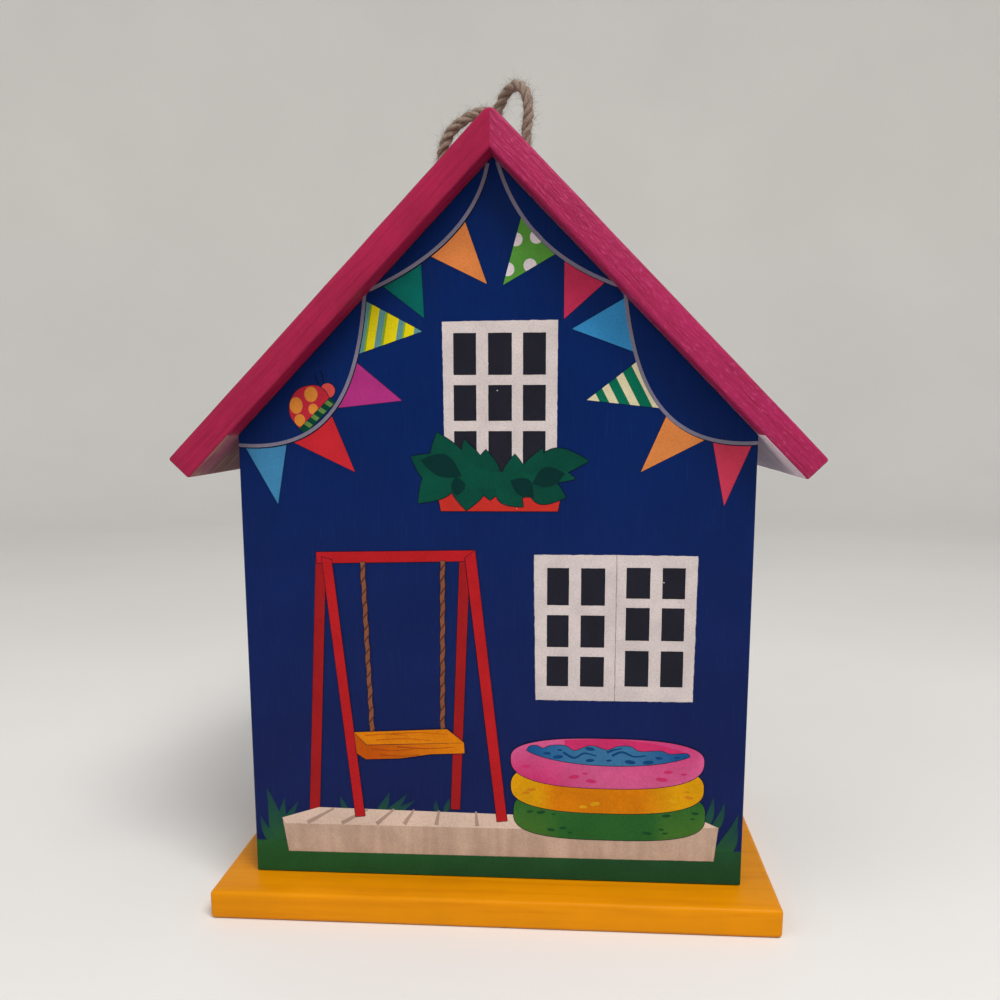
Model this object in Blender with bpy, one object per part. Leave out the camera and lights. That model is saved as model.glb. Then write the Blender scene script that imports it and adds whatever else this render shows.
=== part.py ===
"""A painted wooden birdhouse: four boards stand on a base board under a roof of two boards.

Metres, +Z up. The origin is under the middle of the base. The picture wall faces -Y and the
entrance wall faces +Y. A cord to hang it by goes through the roof on each side of the ridge,
and a cover that swings on one screw closes the clean-out hole in the right wall.
"""

from math import asin, cos, pi, radians, sin, tan

import bmesh
import bpy
from mathutils import Matrix, Vector

# Driving dimensions

gap = 0.0003  # air between pieces that touch
overrun = 0.002  # of a cutter past the surface that it cuts

body_width = 0.171  # across the picture wall and the entrance wall
body_depth = 0.120  # over the outer faces of those two walls
wall_thick = 0.009
wall_round = 0.0007

base_side_margin = 0.0115  # of the base past each side wall
base_end_margin = 0.017  # of the base past the picture wall and the entrance wall
base_thick = 0.010
base_round = 0.0014

ridge_height = 0.264  # to the sharp corner that the rounded ridge is cut from
roof_pitch = radians(45.3)
eave_overhang = 0.0202  # level distance from each side wall out to the eave
roof_overhang = 0.0105  # past the picture wall and the entrance wall
roof_thick = 0.009
roof_round = 0.0009
ridge_round = 0.003

entrance_radius = 0.016
entrance_height = 0.132  # of the hole's middle, above the table
perch_radius = 0.004
perch_drop = 0.029  # from the middle of the entrance hole down to the perch
perch_reach = 0.034  # out of the entrance wall
perch_round = 0.0012

drain_radius = 0.003
drain_inset = 0.014  # from the chamber's inner corners

cleanout_radius = 0.022
cleanout_height = 0.050  # of the hole's middle, above the table
cover_thick = 0.005
cover_side_overlap = 0.008  # of the cover past each side of the clean-out hole
cover_overlap = 0.006  # of the cover's bottom edge past the clean-out hole
cover_corner = 0.010
cover_round = 0.0008
pivot_gap = 0.016  # from the clean-out hole's top up to the cover's screw
pivot_margin = 0.012  # from the screw to the cover's top edge

pivot_screw_length = 0.0135
pivot_screw_radius = 0.00175
pivot_head_radius = 0.0036
pivot_head_height = 0.0022
washer_radius = 0.0048
washer_thick = 0.0009

base_screw_length = 0.024
base_screw_radius = 0.0016
base_head_radius = 0.0033
base_head_height = 0.0022
base_head_rim = 0.0003  # the straight edge under the flat of the head
base_screw_margin = 0.0335  # from each side wall's outer face in to the screws
base_screw_sink = 0.0004  # of the heads, above the table
cross_width = 0.0009
cross_depth = 0.0014
cross_reach = 0.66  # of the head's radius

brad_length = 0.022
brad_radius = 0.0008
brad_head_radius = 0.0013
brad_head_height = 0.0007
brad_sink = 0.0011  # of the heads under the painted filler
brads_per_joint = 3
corner_brad_margin = 0.020  # from a wall's bottom and from its eave to the nearest brad
roof_brad_start = 0.024  # from the ridge down the slope to the first brad
roof_brad_margin = 0.0095  # from the last brad down the slope to the wall's corner
fastener_clearance = 0.0003

cord_radius = 0.002
cord_hole_clearance = 0.0008
cord_hole_offset = 0.008  # from the ridge to each upright hole
cord_point_spacing = 0.005
knot_radius = 0.0047
knot_height = 0.0075
knot_drop = 0.003  # from the roof's underside down to each knot
# The free cord's route between the holes' mouths, from the left hole to the right one
cord_route = (
    (-0.0074, 0.0006, 0.2615),
    (-0.0050, 0.0010, 0.2668),
    (-0.0027, 0.0002, 0.2718),
    (-0.0028, -0.0016, 0.2765),
    (-0.0060, -0.0030, 0.2795),
    (-0.0105, -0.0032, 0.2795),
    (-0.0155, -0.0026, 0.2772),
    (-0.0203, -0.0018, 0.2735),
    (-0.0231, -0.0005, 0.2680),
    (-0.0236, 0.0014, 0.2618),
    (-0.0214, 0.0038, 0.2564),
    (-0.0163, 0.0064, 0.2542),
    (-0.0113, 0.0082, 0.2566),
    (-0.0087, 0.0090, 0.2626),
    (-0.0068, 0.0092, 0.2700),
    (-0.0052, 0.0088, 0.2775),
    (-0.0030, 0.0074, 0.2845),
    (0.0004, 0.0046, 0.2892),
    (0.0042, 0.0012, 0.2902),
    (0.0074, -0.0014, 0.2870),
    (0.0086, -0.0024, 0.2810),
    (0.0078, -0.0020, 0.2730),
    (0.0074, -0.0008, 0.2650),
)

# Places that follow from them

half_body = body_width / 2
half_depth = body_depth / 2
inner_x = half_body - wall_thick
inner_y = half_depth - wall_thick
base_width = body_width + 2 * base_side_margin
base_depth = body_depth + 2 * base_end_margin
base_screw_spread = half_body - base_screw_margin
roof_depth = body_depth + 2 * roof_overhang
roof_slope = (half_body + eave_overhang) / cos(roof_pitch)
inner_ridge = ridge_height - roof_thick / cos(roof_pitch)
wall_bottom = base_thick + gap
wall_ridge = inner_ridge - gap / cos(roof_pitch)
wall_eave = wall_ridge - half_body * tan(roof_pitch)
perch_height = entrance_height - perch_drop
cover_width = 2 * (cleanout_radius + cover_side_overlap)
pivot_height = cleanout_height + cleanout_radius + pivot_gap
cord_hole_radius = cord_radius + cord_hole_clearance
knot_hole_top = inner_ridge - cord_hole_offset * tan(roof_pitch)

crimson = (0.30, 0.012, 0.050)
blue = (0.004, 0.018, 0.125)
yellow = (0.75, 0.30, 0.004)
jute = (0.30, 0.23, 0.16)
steel = (0.55, 0.55, 0.56)


def clear_scene():
    for obj in list(bpy.data.objects):
        bpy.data.objects.remove(obj, do_unlink=True)


def material(name, colour, roughness, metallic=0.0):
    made = bpy.data.materials.new(name)
    made.use_nodes = True
    shader = made.node_tree.nodes["Principled BSDF"]
    shader.inputs["Base Color"].default_value = (*colour, 1.0)
    shader.inputs["Roughness"].default_value = roughness
    shader.inputs["Metallic"].default_value = metallic
    return made


def mesh_of(name, bm, finish=None):
    bmesh.ops.recalc_face_normals(bm, faces=bm.faces)
    mesh = bpy.data.meshes.new(name)
    bm.to_mesh(mesh)
    bm.free()
    if finish:
        mesh.materials.append(finish)
    return mesh


def add_object(name, data):
    obj = bpy.data.objects.new(name, data)
    bpy.context.scene.collection.objects.link(obj)
    return obj


def shade_round(mesh):
    mesh.shade_smooth()
    mesh.set_sharp_from_angle(angle=radians(35))


# Solids


def prism(outline, axis, low, high):
    """A bmesh of the outline, in the plane across the axis, drawn out from low to high."""
    at_low = {
        "X": lambda a, b: (low, a, b),
        "Y": lambda a, b: (a, low, b),
        "Z": lambda a, b: (a, b, low),
    }
    bm = bmesh.new()
    face = bm.faces.new([bm.verts.new(at_low[axis](a, b)) for a, b in outline])
    drawn = bmesh.ops.extrude_face_region(bm, geom=[face])["geom"]
    step = Vector([high - low if letter == axis else 0 for letter in "XYZ"])
    bmesh.ops.translate(bm, vec=step, verts=[v for v in drawn if isinstance(v, bmesh.types.BMVert)])
    return bm


def mark_rounded(bm, is_rounded):
    """Gives each edge whose middle the test accepts the weight that the Bevel modifier reads."""
    weights = bm.edges.layers.float.new("bevel_weight_edge")
    for edge in bm.edges:
        start, end = (v.co for v in edge.verts)
        edge[weights] = 1.0 if is_rounded((start + end) / 2, (end - start).normalized()) else 0.0


def round_edges(obj, width):
    bevel = obj.modifiers.new("Rounded edges", "BEVEL")
    bevel.width = width
    bevel.segments = 2
    bevel.limit_method = "WEIGHT"


def turned(profile, sides):
    """A bmesh turned round Z from (radius, height) points that run from bottom to top."""
    bm = bmesh.new()
    rings = []
    for radius, height in profile:
        if radius == 0:
            rings.append([bm.verts.new((0, 0, height))])
            continue
        turn = [2 * pi * i / sides for i in range(sides)]
        rings.append([bm.verts.new((radius * cos(a), radius * sin(a), height)) for a in turn])
    for lower, upper in zip(rings, rings[1:]):
        for i in range(sides):
            j = (i + 1) % sides
            below = [lower[i % len(lower)], lower[j % len(lower)]]
            above = [upper[j % len(upper)], upper[i % len(upper)]]
            bm.faces.new(list(dict.fromkeys(below + above)))
    for ring in (rings[0], rings[-1]):
        if len(ring) > 1:
            bm.faces.new(ring)
    return bm


def point_along(bm, start, direction):
    """Moves a bmesh that stands on the origin so that it stands at start and points along direction."""
    turn = Vector((0, 0, 1)).rotation_difference(Vector(direction)).to_matrix().to_4x4()
    bm.transform(Matrix.Translation(start) @ turn)
    return bm


def cut_away(obj, label, solids):
    """Cuts the solids out of the object, all at once, by one hidden helper."""
    joined = bmesh.new()
    for solid in solids:
        piece = mesh_of("piece", solid)
        joined.from_mesh(piece)
        bpy.data.meshes.remove(piece)
    helper = add_object(f"{obj.name}_{label}", mesh_of(label, joined))
    helper.hide_render = True
    helper.display_type = "WIRE"
    cut = obj.modifiers.new(label, "BOOLEAN")
    cut.object = helper
    return helper


def drill(obj, rods):
    """A round hole for each rod (start, direction, length, radius, sides)."""
    solids = [
        point_along(turned([(radius, 0), (radius, length)], sides), start, direction)
        for start, direction, length, radius, sides in rods
    ]
    return cut_away(obj, "holes", solids)


# Brads and screws, each with its head at the origin and its point along +Z


def brad_mesh(finish):
    point = brad_length - 2 * brad_radius
    profile = [
        (brad_head_radius, 0),
        (brad_head_radius, brad_head_height),
        (brad_radius, brad_head_height),
        (brad_radius, point),
        (0, brad_length),
    ]
    mesh = mesh_of("brad", turned(profile, 10), finish)
    shade_round(mesh)
    return mesh


def screw_mesh(name, profile, finish):
    """A turned screw with a cross recess in its head."""
    head_radius = max(radius for radius, _ in profile)
    blank = add_object(name + "_blank", mesh_of(name, turned(profile, 20), finish))
    long, thin = head_radius * cross_reach, cross_width / 2
    plus = [
        (long, thin), (thin, thin), (thin, long), (-thin, long), (-thin, thin), (-long, thin),
        (-long, -thin), (-thin, -thin), (-thin, -long), (thin, -long), (thin, -thin), (long, -thin),
    ]
    bit = add_object(name + "_bit", mesh_of("bit", prism(plus, "Z", -cross_depth, cross_depth)))
    cut = blank.modifiers.new("Cross recess", "BOOLEAN")
    cut.object = bit
    bpy.context.view_layer.update()
    finished = blank.evaluated_get(bpy.context.evaluated_depsgraph_get())
    mesh = bpy.data.meshes.new_from_object(finished)
    mesh.name = name
    for obj in (blank, bit):
        bpy.data.objects.remove(obj, do_unlink=True)
    shade_round(mesh)
    return mesh


def base_screw_mesh(finish):
    return screw_mesh("base_screw", [
        (base_head_radius, 0),
        (base_head_radius, base_head_rim),
        (base_screw_radius, base_head_height),
        (base_screw_radius, base_screw_length - 2 * base_screw_radius),
        (0, base_screw_length),
    ], finish)


def pivot_screw_mesh(finish):
    """A round-headed screw; the head's flat underside sits on the washer."""
    dome = [
        (pivot_head_radius * cos(a), pivot_head_height * (1 - sin(a)))
        for a in (radians(80), radians(60), radians(40), radians(20), 0)
    ]
    return screw_mesh("pivot_screw", dome + [
        (pivot_screw_radius, pivot_head_height),
        (pivot_screw_radius, pivot_head_height + pivot_screw_length - 2 * pivot_screw_radius),
        (0, pivot_head_height + pivot_screw_length),
    ], finish)


def place(name, mesh, start, direction):
    obj = add_object(name, mesh)
    obj.location = start
    obj.rotation_euler = Vector((0, 0, 1)).rotation_difference(Vector(direction)).to_euler()
    return obj


# Where the fasteners go: each gets a name, the start of its head and its direction


def evenly(low, high, count):
    return [low + (high - low) * i / (count - 1) for i in range(count)]


def corner_brads():
    """Through the picture wall and the entrance wall into the ends of the side walls."""
    heights = evenly(wall_bottom + corner_brad_margin, wall_eave - corner_brad_margin, brads_per_joint)
    for end, way in (("front", 1), ("back", -1)):
        for side, sign in (("left", -1), ("right", 1)):
            for number, height in enumerate(heights, 1):
                x = sign * (half_body - wall_thick / 2)
                start = Vector((x, -way * (half_depth - brad_sink), height))
                yield f"corner_brad_{end}_{side}_{number}", side, end, start, Vector((0, way, 0))


def roof_brads():
    """Square through each roof board into the slopes of the picture and entrance walls."""
    last = half_body / cos(roof_pitch) - roof_brad_margin
    places = evenly(roof_brad_start, last, brads_per_joint)
    for side, sign in (("left", -1), ("right", 1)):
        outward = Vector((sign * sin(roof_pitch), 0, cos(roof_pitch)))
        for end, way in (("front", -1), ("back", 1)):
            for number, down in enumerate(places, 1):
                x = sign * down * cos(roof_pitch)
                z = ridge_height - down * sin(roof_pitch)
                top = Vector((x, way * (half_depth - wall_thick / 2), z))
                yield f"roof_brad_{side}_{end}_{number}", side, end, top - outward * brad_sink, -outward


def base_screws():
    """Up through the base into the bottom edges of the picture and entrance walls."""
    for end, way in (("front", -1), ("back", 1)):
        for side, sign in (("left", -1), ("right", 1)):
            y = way * (half_depth - wall_thick / 2)
            start = Vector((sign * base_screw_spread, y, base_screw_sink))
            yield f"base_screw_{end}_{side}", end, start, Vector((0, 0, 1))


def brad_bore(start, direction):
    """The pocket that a brad leaves: as wide as its head, closed by filler over the head."""
    radius = brad_head_radius + fastener_clearance
    return (start - direction * gap, direction, brad_length + 2 * gap, radius, 12)


def brad_grip(start, direction):
    return (start, direction, brad_length + gap, brad_radius + fastener_clearance, 12)


# Boards


def base_board(finish):
    """Four drain holes and four countersunk screw holes go through it."""
    x, y = base_width / 2, base_depth / 2
    bm = prism([(-x, -y), (x, -y), (x, y), (-x, y)], "Z", 0, base_thick)
    mark_rounded(bm, lambda middle, along: True)
    obj = add_object("base_board", mesh_of("base_board", bm, finish))
    round_edges(obj, base_round)
    x, y = inner_x - drain_inset, inner_y - drain_inset
    through = base_thick + 2 * overrun
    drill(obj, [
        (Vector((sx * x, sy * y, -overrun)), Vector((0, 0, 1)), through, drain_radius, 20)
        for sx in (-1, 1) for sy in (-1, 1)
    ])
    head = base_head_radius + fastener_clearance
    shank = base_screw_radius + fastener_clearance
    profile = [
        (head, -overrun),
        (head, base_screw_sink + base_head_rim),
        (shank, base_screw_sink + base_head_height + fastener_clearance),
        (shank, base_thick + overrun),
    ]
    cut_away(obj, "sinks", [
        point_along(turned(profile, 20), (start.x, start.y, 0), up) for _, _, start, up in base_screws()
    ])
    return obj


def gable_wall(name, end, way, finish):
    """The wall whose outer face looks along way (-1 or 1) on Y, and the holes of its fasteners."""
    outline = [
        (-half_body, wall_bottom), (half_body, wall_bottom),
        (half_body, wall_eave), (0, wall_ridge), (-half_body, wall_eave),
    ]
    outer, inner = way * half_depth, way * inner_y
    bm = prism(outline, "Y", min(outer, inner), max(outer, inner))
    mark_rounded(bm, lambda middle, along: abs(along.z) > 0.99 and abs(middle.y - outer) < 1e-6)
    obj = add_object(name, mesh_of(name, bm, finish))
    round_edges(obj, wall_round)
    rods = [brad_bore(start, way_in) for _, _, e, start, way_in in corner_brads() if e == end]
    rods += [brad_grip(start, way_in) for _, _, e, start, way_in in roof_brads() if e == end]
    rods += [
        (start, up, base_screw_length + gap, base_screw_radius + fastener_clearance, 12)
        for _, e, start, up in base_screws() if e == end
    ]
    return obj, rods


def picture_wall(finish):
    obj, rods = gable_wall("picture_wall", "front", -1, finish)
    drill(obj, rods)
    return obj


def entrance_wall(finish):
    obj, rods = gable_wall("entrance_wall", "back", 1, finish)
    outside = half_depth + overrun
    through = wall_thick + 2 * overrun
    inward = Vector((0, -1, 0))
    rods.append((Vector((0, outside, entrance_height)), inward, through, entrance_radius, 48))
    rods.append((Vector((0, outside, perch_height)), inward, through, perch_radius + gap, 24))
    drill(obj, rods)
    return obj


def side_wall(side, sign, finish):
    """Stands between the gable walls; its top edge slopes with the roof."""
    name = side + "_wall"
    outer, inner = sign * half_body, sign * inner_x
    outline = [
        (outer, wall_bottom), (outer, wall_eave),
        (inner, wall_ridge - inner_x * tan(roof_pitch)), (inner, wall_bottom),
    ]
    reach = inner_y - gap
    obj = add_object(name, mesh_of(name, prism(outline, "Y", -reach, reach), finish))
    rods = [brad_grip(start, way) for _, s, _, start, way in corner_brads() if s == side]
    if side == "right":
        outward = Vector((1, 0, 0))
        start = Vector((inner_x - overrun, 0, cleanout_height))
        rods.append((start, outward, wall_thick + 2 * overrun, cleanout_radius, 48))
        grip = pivot_screw_length - (washer_thick + cover_thick + 3 * gap) + 2 * gap
        start = Vector((half_body - grip, 0, pivot_height))
        rods.append((start, outward, grip + overrun, pivot_screw_radius + fastener_clearance, 16))
    drill(obj, rods)
    return obj


def roof_outline(sign):
    """From the rounded ridge down the outer face, round the eave and back up the underside."""
    middle = gap / 2
    centre = ridge_height - ridge_round / cos(roof_pitch)
    first = asin(middle / ridge_round)
    turns = [first + (roof_pitch - first) * i / 5 for i in range(6)]
    outline = [(ridge_round * sin(a), centre + ridge_round * cos(a)) for a in turns]
    eave = Vector((roof_slope * cos(roof_pitch), ridge_height - roof_slope * sin(roof_pitch)))
    inward = Vector((-sin(roof_pitch), -cos(roof_pitch))) * roof_thick
    outline += [tuple(eave), tuple(eave + inward), (middle, inner_ridge - middle * tan(roof_pitch))]
    return [(sign * x, z) for x, z in outline]


def roof_board(side, sign, finish):
    end = roof_depth / 2
    bm = prism(roof_outline(sign), "Y", -end, end)
    eave_x = roof_slope * cos(roof_pitch) - roof_thick

    def is_rounded(middle, along):
        at_end = abs(abs(middle.y) - end) < 1e-6 and abs(middle.x) > gap
        at_eave = abs(along.y) > 0.99 and abs(middle.x) > eave_x
        return at_end or at_eave

    mark_rounded(bm, is_rounded)
    name = "roof_" + side
    obj = add_object(name, mesh_of(name, bm, finish))
    round_edges(obj, roof_round)
    rods = [brad_bore(start, way) for _, s, _, start, way in roof_brads() if s == side]
    low = knot_hole_top - cord_hole_radius * tan(roof_pitch) - overrun
    start = Vector((sign * cord_hole_offset, 0, low))
    rods.append((start, Vector((0, 0, 1)), ridge_height - low, cord_hole_radius, 16))
    drill(obj, rods)
    return obj


# The perch, the clean-out cover and its screw


def perch(finish):
    """A dowel pushed through the entrance wall, rounded at its outer end."""
    length = wall_thick + perch_reach
    rim = [
        (perch_radius - perch_round * (1 - cos(a)), length - perch_round * (1 - sin(a)))
        for a in (0, radians(45), radians(90))
    ]
    bm = point_along(turned([(perch_radius, 0), *rim], 24), (0, inner_y, perch_height), (0, 1, 0))
    obj = add_object("perch", mesh_of("perch", bm, finish))
    shade_round(obj.data)
    return obj


def rounded_rectangle(low_y, high_y, low_z, high_z, corner, steps=5):
    centres = (
        (high_y - corner, high_z - corner, 0), (low_y + corner, high_z - corner, 1),
        (low_y + corner, low_z + corner, 2), (high_y - corner, low_z + corner, 3),
    )
    outline = []
    for y, z, quarter in centres:
        for i in range(steps + 1):
            turn = (quarter + i / steps) * pi / 2
            outline.append((y + corner * cos(turn), z + corner * sin(turn)))
    return outline


def cleanout_cover(finish):
    """Its origin is on the screw that it swings on."""
    bottom = cleanout_height - cleanout_radius - cover_overlap - pivot_height
    outline = rounded_rectangle(-cover_width / 2, cover_width / 2, bottom, pivot_margin, cover_corner)
    outer = gap + cover_thick
    bm = prism(outline, "X", gap, outer)
    mark_rounded(bm, lambda middle, along: abs(middle.x - outer) < 1e-6)
    obj = add_object("cleanout_cover", mesh_of("cleanout_cover", bm, finish))
    round_edges(obj, cover_round)
    start = Vector((-overrun, 0, 0))
    radius = pivot_screw_radius + fastener_clearance
    helper = drill(obj, [(start, Vector((1, 0, 0)), outer + 2 * overrun, radius, 20)])
    pivot = add_object("cover_pivot", None)
    pivot.location = (half_body, 0, pivot_height)
    obj.parent = pivot
    helper.parent = pivot
    return obj


def pivot_washer(finish):
    outward = Vector((1, 0, 0))
    start = Vector((half_body + 2 * gap + cover_thick, 0, pivot_height))
    bm = point_along(turned([(washer_radius, 0), (washer_radius, washer_thick)], 28), start, outward)
    obj = add_object("pivot_washer", mesh_of("pivot_washer", bm, finish))
    through = washer_thick + 2 * overrun
    drill(obj, [(start - outward * overrun, outward, through, pivot_screw_radius + fastener_clearance, 20)])
    return obj


def pivot_screw(finish):
    head = half_body + 3 * gap + cover_thick + washer_thick + pivot_head_height
    return place("pivot_screw", pivot_screw_mesh(finish), (head, 0, pivot_height), (-1, 0, 0))


# The hanging cord


def smooth_route(points, spacing):
    """Points every spacing along a Catmull-Rom curve through the given ones."""
    ends = [2 * points[0] - points[1]] + list(points) + [2 * points[-1] - points[-2]]
    fine = []
    for p0, p1, p2, p3 in zip(ends, ends[1:], ends[2:], ends[3:]):
        for i in range(24):
            t = i / 24
            fine.append(0.5 * (
                2 * p1 + (p2 - p0) * t + (2 * p0 - 5 * p1 + 4 * p2 - p3) * t**2
                + (3 * p1 - p0 - 3 * p2 + p3) * t**3
            ))
    fine.append(points[-1])
    walked = [0.0]
    for start, end in zip(fine, fine[1:]):
        walked.append(walked[-1] + (end - start).length)
    count = round(walked[-1] / spacing)
    picked, j = [], 0
    for i in range(count + 1):
        target = walked[-1] * i / count
        while j < len(fine) - 2 and walked[j + 1] < target:
            j += 1
        share = (target - walked[j]) / (walked[j + 1] - walked[j])
        picked.append(fine[j].lerp(fine[j + 1], min(share, 1.0)))
    return picked


def hanging_cord(finish):
    """From the left knot up through the roof, round its loop and down to the right knot."""
    low = knot_hole_top - knot_drop
    mouth = ridge_height - cord_hole_offset * tan(roof_pitch)
    left = [Vector((-cord_hole_offset, 0, z)) for z in (low, (low + mouth) / 2, mouth)]
    right = [Vector((-p.x, 0, p.z)) for p in reversed(left)]
    route = smooth_route(left + [Vector(p) for p in cord_route] + right, cord_point_spacing)
    curve = bpy.data.curves.new("hanging_cord", "CURVE")
    curve.dimensions = "3D"
    curve.bevel_depth = cord_radius
    curve.bevel_resolution = 2
    curve.use_fill_caps = True
    spline = curve.splines.new("POLY")
    spline.points.add(len(route) - 1)
    for point, at in zip(spline.points, route):
        point.co = (*at, 1.0)
    curve.materials.append(finish)
    return add_object("hanging_cord", curve)


def cord_knot(side, sign, finish):
    """A plain rounded solid for the knot that stops the cord under the roof."""
    top = knot_hole_top - knot_drop - gap
    half = knot_height / 2
    turns = [radians(a) for a in (-60, -30, 0, 30, 60)]
    profile = [(knot_radius * cos(a), top - half + half * sin(a)) for a in turns]
    profile = [(0, top - knot_height), *profile, (knot_radius * cos(radians(78)), top)]
    name = "cord_knot_" + side
    bm = turned(profile, 14)
    bm.transform(Matrix.Translation((sign * cord_hole_offset, 0, 0)))
    obj = add_object(name, mesh_of(name, bm, finish))
    shade_round(obj.data)
    return obj


def main():
    clear_scene()
    paints = {
        "crimson": material("crimson_paint", crimson, 0.45),
        "blue": material("blue_print", blue, 0.45),
        "yellow": material("yellow_paint", yellow, 0.45),
        "jute": material("jute", jute, 0.9),
        "steel": material("steel", steel, 0.35, 1.0),
    }
    base_board(paints["yellow"])
    picture_wall(paints["blue"])
    entrance_wall(paints["blue"])
    for side, sign in (("left", -1), ("right", 1)):
        side_wall(side, sign, paints["blue"])
        roof_board(side, sign, paints["crimson"])
        cord_knot(side, sign, paints["jute"])
    perch(paints["yellow"])
    cleanout_cover(paints["blue"])
    pivot_washer(paints["steel"])
    pivot_screw(paints["steel"])
    hanging_cord(paints["jute"])
    brad = brad_mesh(paints["steel"])
    for name, _, _, start, direction in (*corner_brads(), *roof_brads()):
        place(name, brad, start, direction)
    screw = base_screw_mesh(paints["steel"])
    for name, _, start, direction in base_screws():
        place(name, screw, start, direction)


main()
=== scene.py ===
# Painted wooden birdhouse with a jute hanging loop.
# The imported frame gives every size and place; this script gives the boards their paint and grain.
import math
import random

import bmesh
import bpy
from mathutils import Matrix, Vector, noise


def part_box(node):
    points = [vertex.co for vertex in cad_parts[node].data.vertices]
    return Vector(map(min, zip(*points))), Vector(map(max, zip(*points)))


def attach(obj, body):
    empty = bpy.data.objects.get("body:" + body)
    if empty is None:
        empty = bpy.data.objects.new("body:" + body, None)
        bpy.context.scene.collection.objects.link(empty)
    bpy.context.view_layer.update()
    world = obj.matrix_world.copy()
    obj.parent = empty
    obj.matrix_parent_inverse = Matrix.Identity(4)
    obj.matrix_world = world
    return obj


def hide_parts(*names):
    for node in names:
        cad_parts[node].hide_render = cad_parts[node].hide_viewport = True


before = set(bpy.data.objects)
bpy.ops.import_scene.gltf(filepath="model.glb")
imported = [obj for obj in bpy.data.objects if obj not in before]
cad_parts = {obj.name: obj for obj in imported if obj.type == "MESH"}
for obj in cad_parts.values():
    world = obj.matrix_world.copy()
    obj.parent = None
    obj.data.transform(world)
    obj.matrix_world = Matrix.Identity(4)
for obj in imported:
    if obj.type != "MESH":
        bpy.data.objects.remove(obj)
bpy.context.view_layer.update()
print("frame loaded with", len(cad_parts), "nodes")

mm = 0.001
roofPitch = 45.3  # degrees
bpy.context.scene.view_settings.view_transform = "Standard"


# camera

viewpoint = {
    "place": (26.96 * mm, -389.93 * mm, 171.67 * mm),
    "turn": 4.308,
    "tilt": -9.586,
    "roll": 0.122,
    "lens": 36.03,
    "rise": 0.0825,
}


def addCamera():
    bpy.ops.object.camera_add()
    camera = bpy.context.object
    turn = Matrix.Rotation(math.radians(viewpoint["turn"]), 4, "Z")
    tilt = Matrix.Rotation(math.radians(viewpoint["tilt"]), 4, "X")
    roll = Matrix.Rotation(math.radians(viewpoint["roll"]), 4, "Y")
    upright = Matrix.Rotation(math.radians(90), 4, "X")
    camera.matrix_world = Matrix.Translation(viewpoint["place"]) @ turn @ tilt @ roll @ upright
    camera.data.lens = viewpoint["lens"]
    camera.data.shift_y = viewpoint["rise"]
    camera.data.clip_start = 0.01
    bpy.context.scene.camera = camera


addCamera()
print("camera placed")


# node helpers


def feed(tree, node, inputs):
    # a value that is a socket is linked, anything else is set
    for name, value in inputs.items():
        if isinstance(value, bpy.types.NodeSocket):
            tree.links.new(value, node.inputs[name])
        else:
            node.inputs[name].default_value = value


def addNode(tree, kind, inputs=None, **settings):
    made = tree.nodes.new(kind)
    for name, value in settings.items():
        setattr(made, name, value)
    feed(tree, made, inputs or {})
    return made


def maths(tree, operation, first, second=0.0):
    return addNode(tree, "ShaderNodeMath", {0: first, 1: second}, operation=operation).outputs[0]


def fade(tree, value, low, high, outLow=0.0, outHigh=1.0):
    inputs = {"Value": value, "From Min": low, "From Max": high, "To Min": outLow, "To Max": outHigh}
    return addNode(tree, "ShaderNodeMapRange", inputs, interpolation_type="SMOOTHSTEP").outputs[0]


def blendColours(tree, share, first, second, way="MIX"):
    inputs = {0: share, 6: first, 7: second}
    return addNode(tree, "ShaderNodeMix", inputs, data_type="RGBA", blend_type=way).outputs[2]


def tinted(tree, colour, mask, strength, tint):
    # the tint lies over the colour where the mask is, as thickly as the strength allows
    return blendColours(tree, maths(tree, "MULTIPLY", mask, strength), colour, tint)


def multiplied(tree, first, second):
    return blendColours(tree, 1.0, first, second, "MULTIPLY")


def stretched(tree, vector, scale):
    inputs = {0: vector, 1: scale}
    return addNode(tree, "ShaderNodeVectorMath", inputs, operation="MULTIPLY").outputs[0]


def noiseAt(tree, vector, scale=1.0, detail=3.0, roughness=0.55, distortion=0.0):
    inputs = {"Vector": vector, "Scale": scale, "Detail": detail, "Roughness": roughness}
    inputs["Distortion"] = distortion
    return addNode(tree, "ShaderNodeTexNoise", inputs).outputs[0]


def newGroup(name, inputs, outputs):
    group = bpy.data.node_groups.new(name, "ShaderNodeTree")
    for label, kind, value in inputs:
        socket = group.interface.new_socket(label, in_out="INPUT", socket_type="NodeSocket" + kind)
        if value is not None:
            socket.default_value = value
    for label, kind in outputs:
        group.interface.new_socket(label, in_out="OUTPUT", socket_type="NodeSocket" + kind)
    return group, group.nodes.new("NodeGroupInput").outputs, group.nodes.new("NodeGroupOutput").inputs


def useGroup(tree, group, inputs):
    made = tree.nodes.new("ShaderNodeGroup")
    made.node_tree = group
    feed(tree, made, inputs)
    return made.outputs


def linear(red, green, blue):
    # from the 0 to 255 of a colour picker to the shader's own scale
    channels = []
    for value in (red, green, blue):
        share = value / 255
        channels.append(share / 12.92 if share < 0.04045 else ((share + 0.055) / 1.055) ** 2.4)
    return (*channels, 1.0)


# shared surface effects


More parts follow.
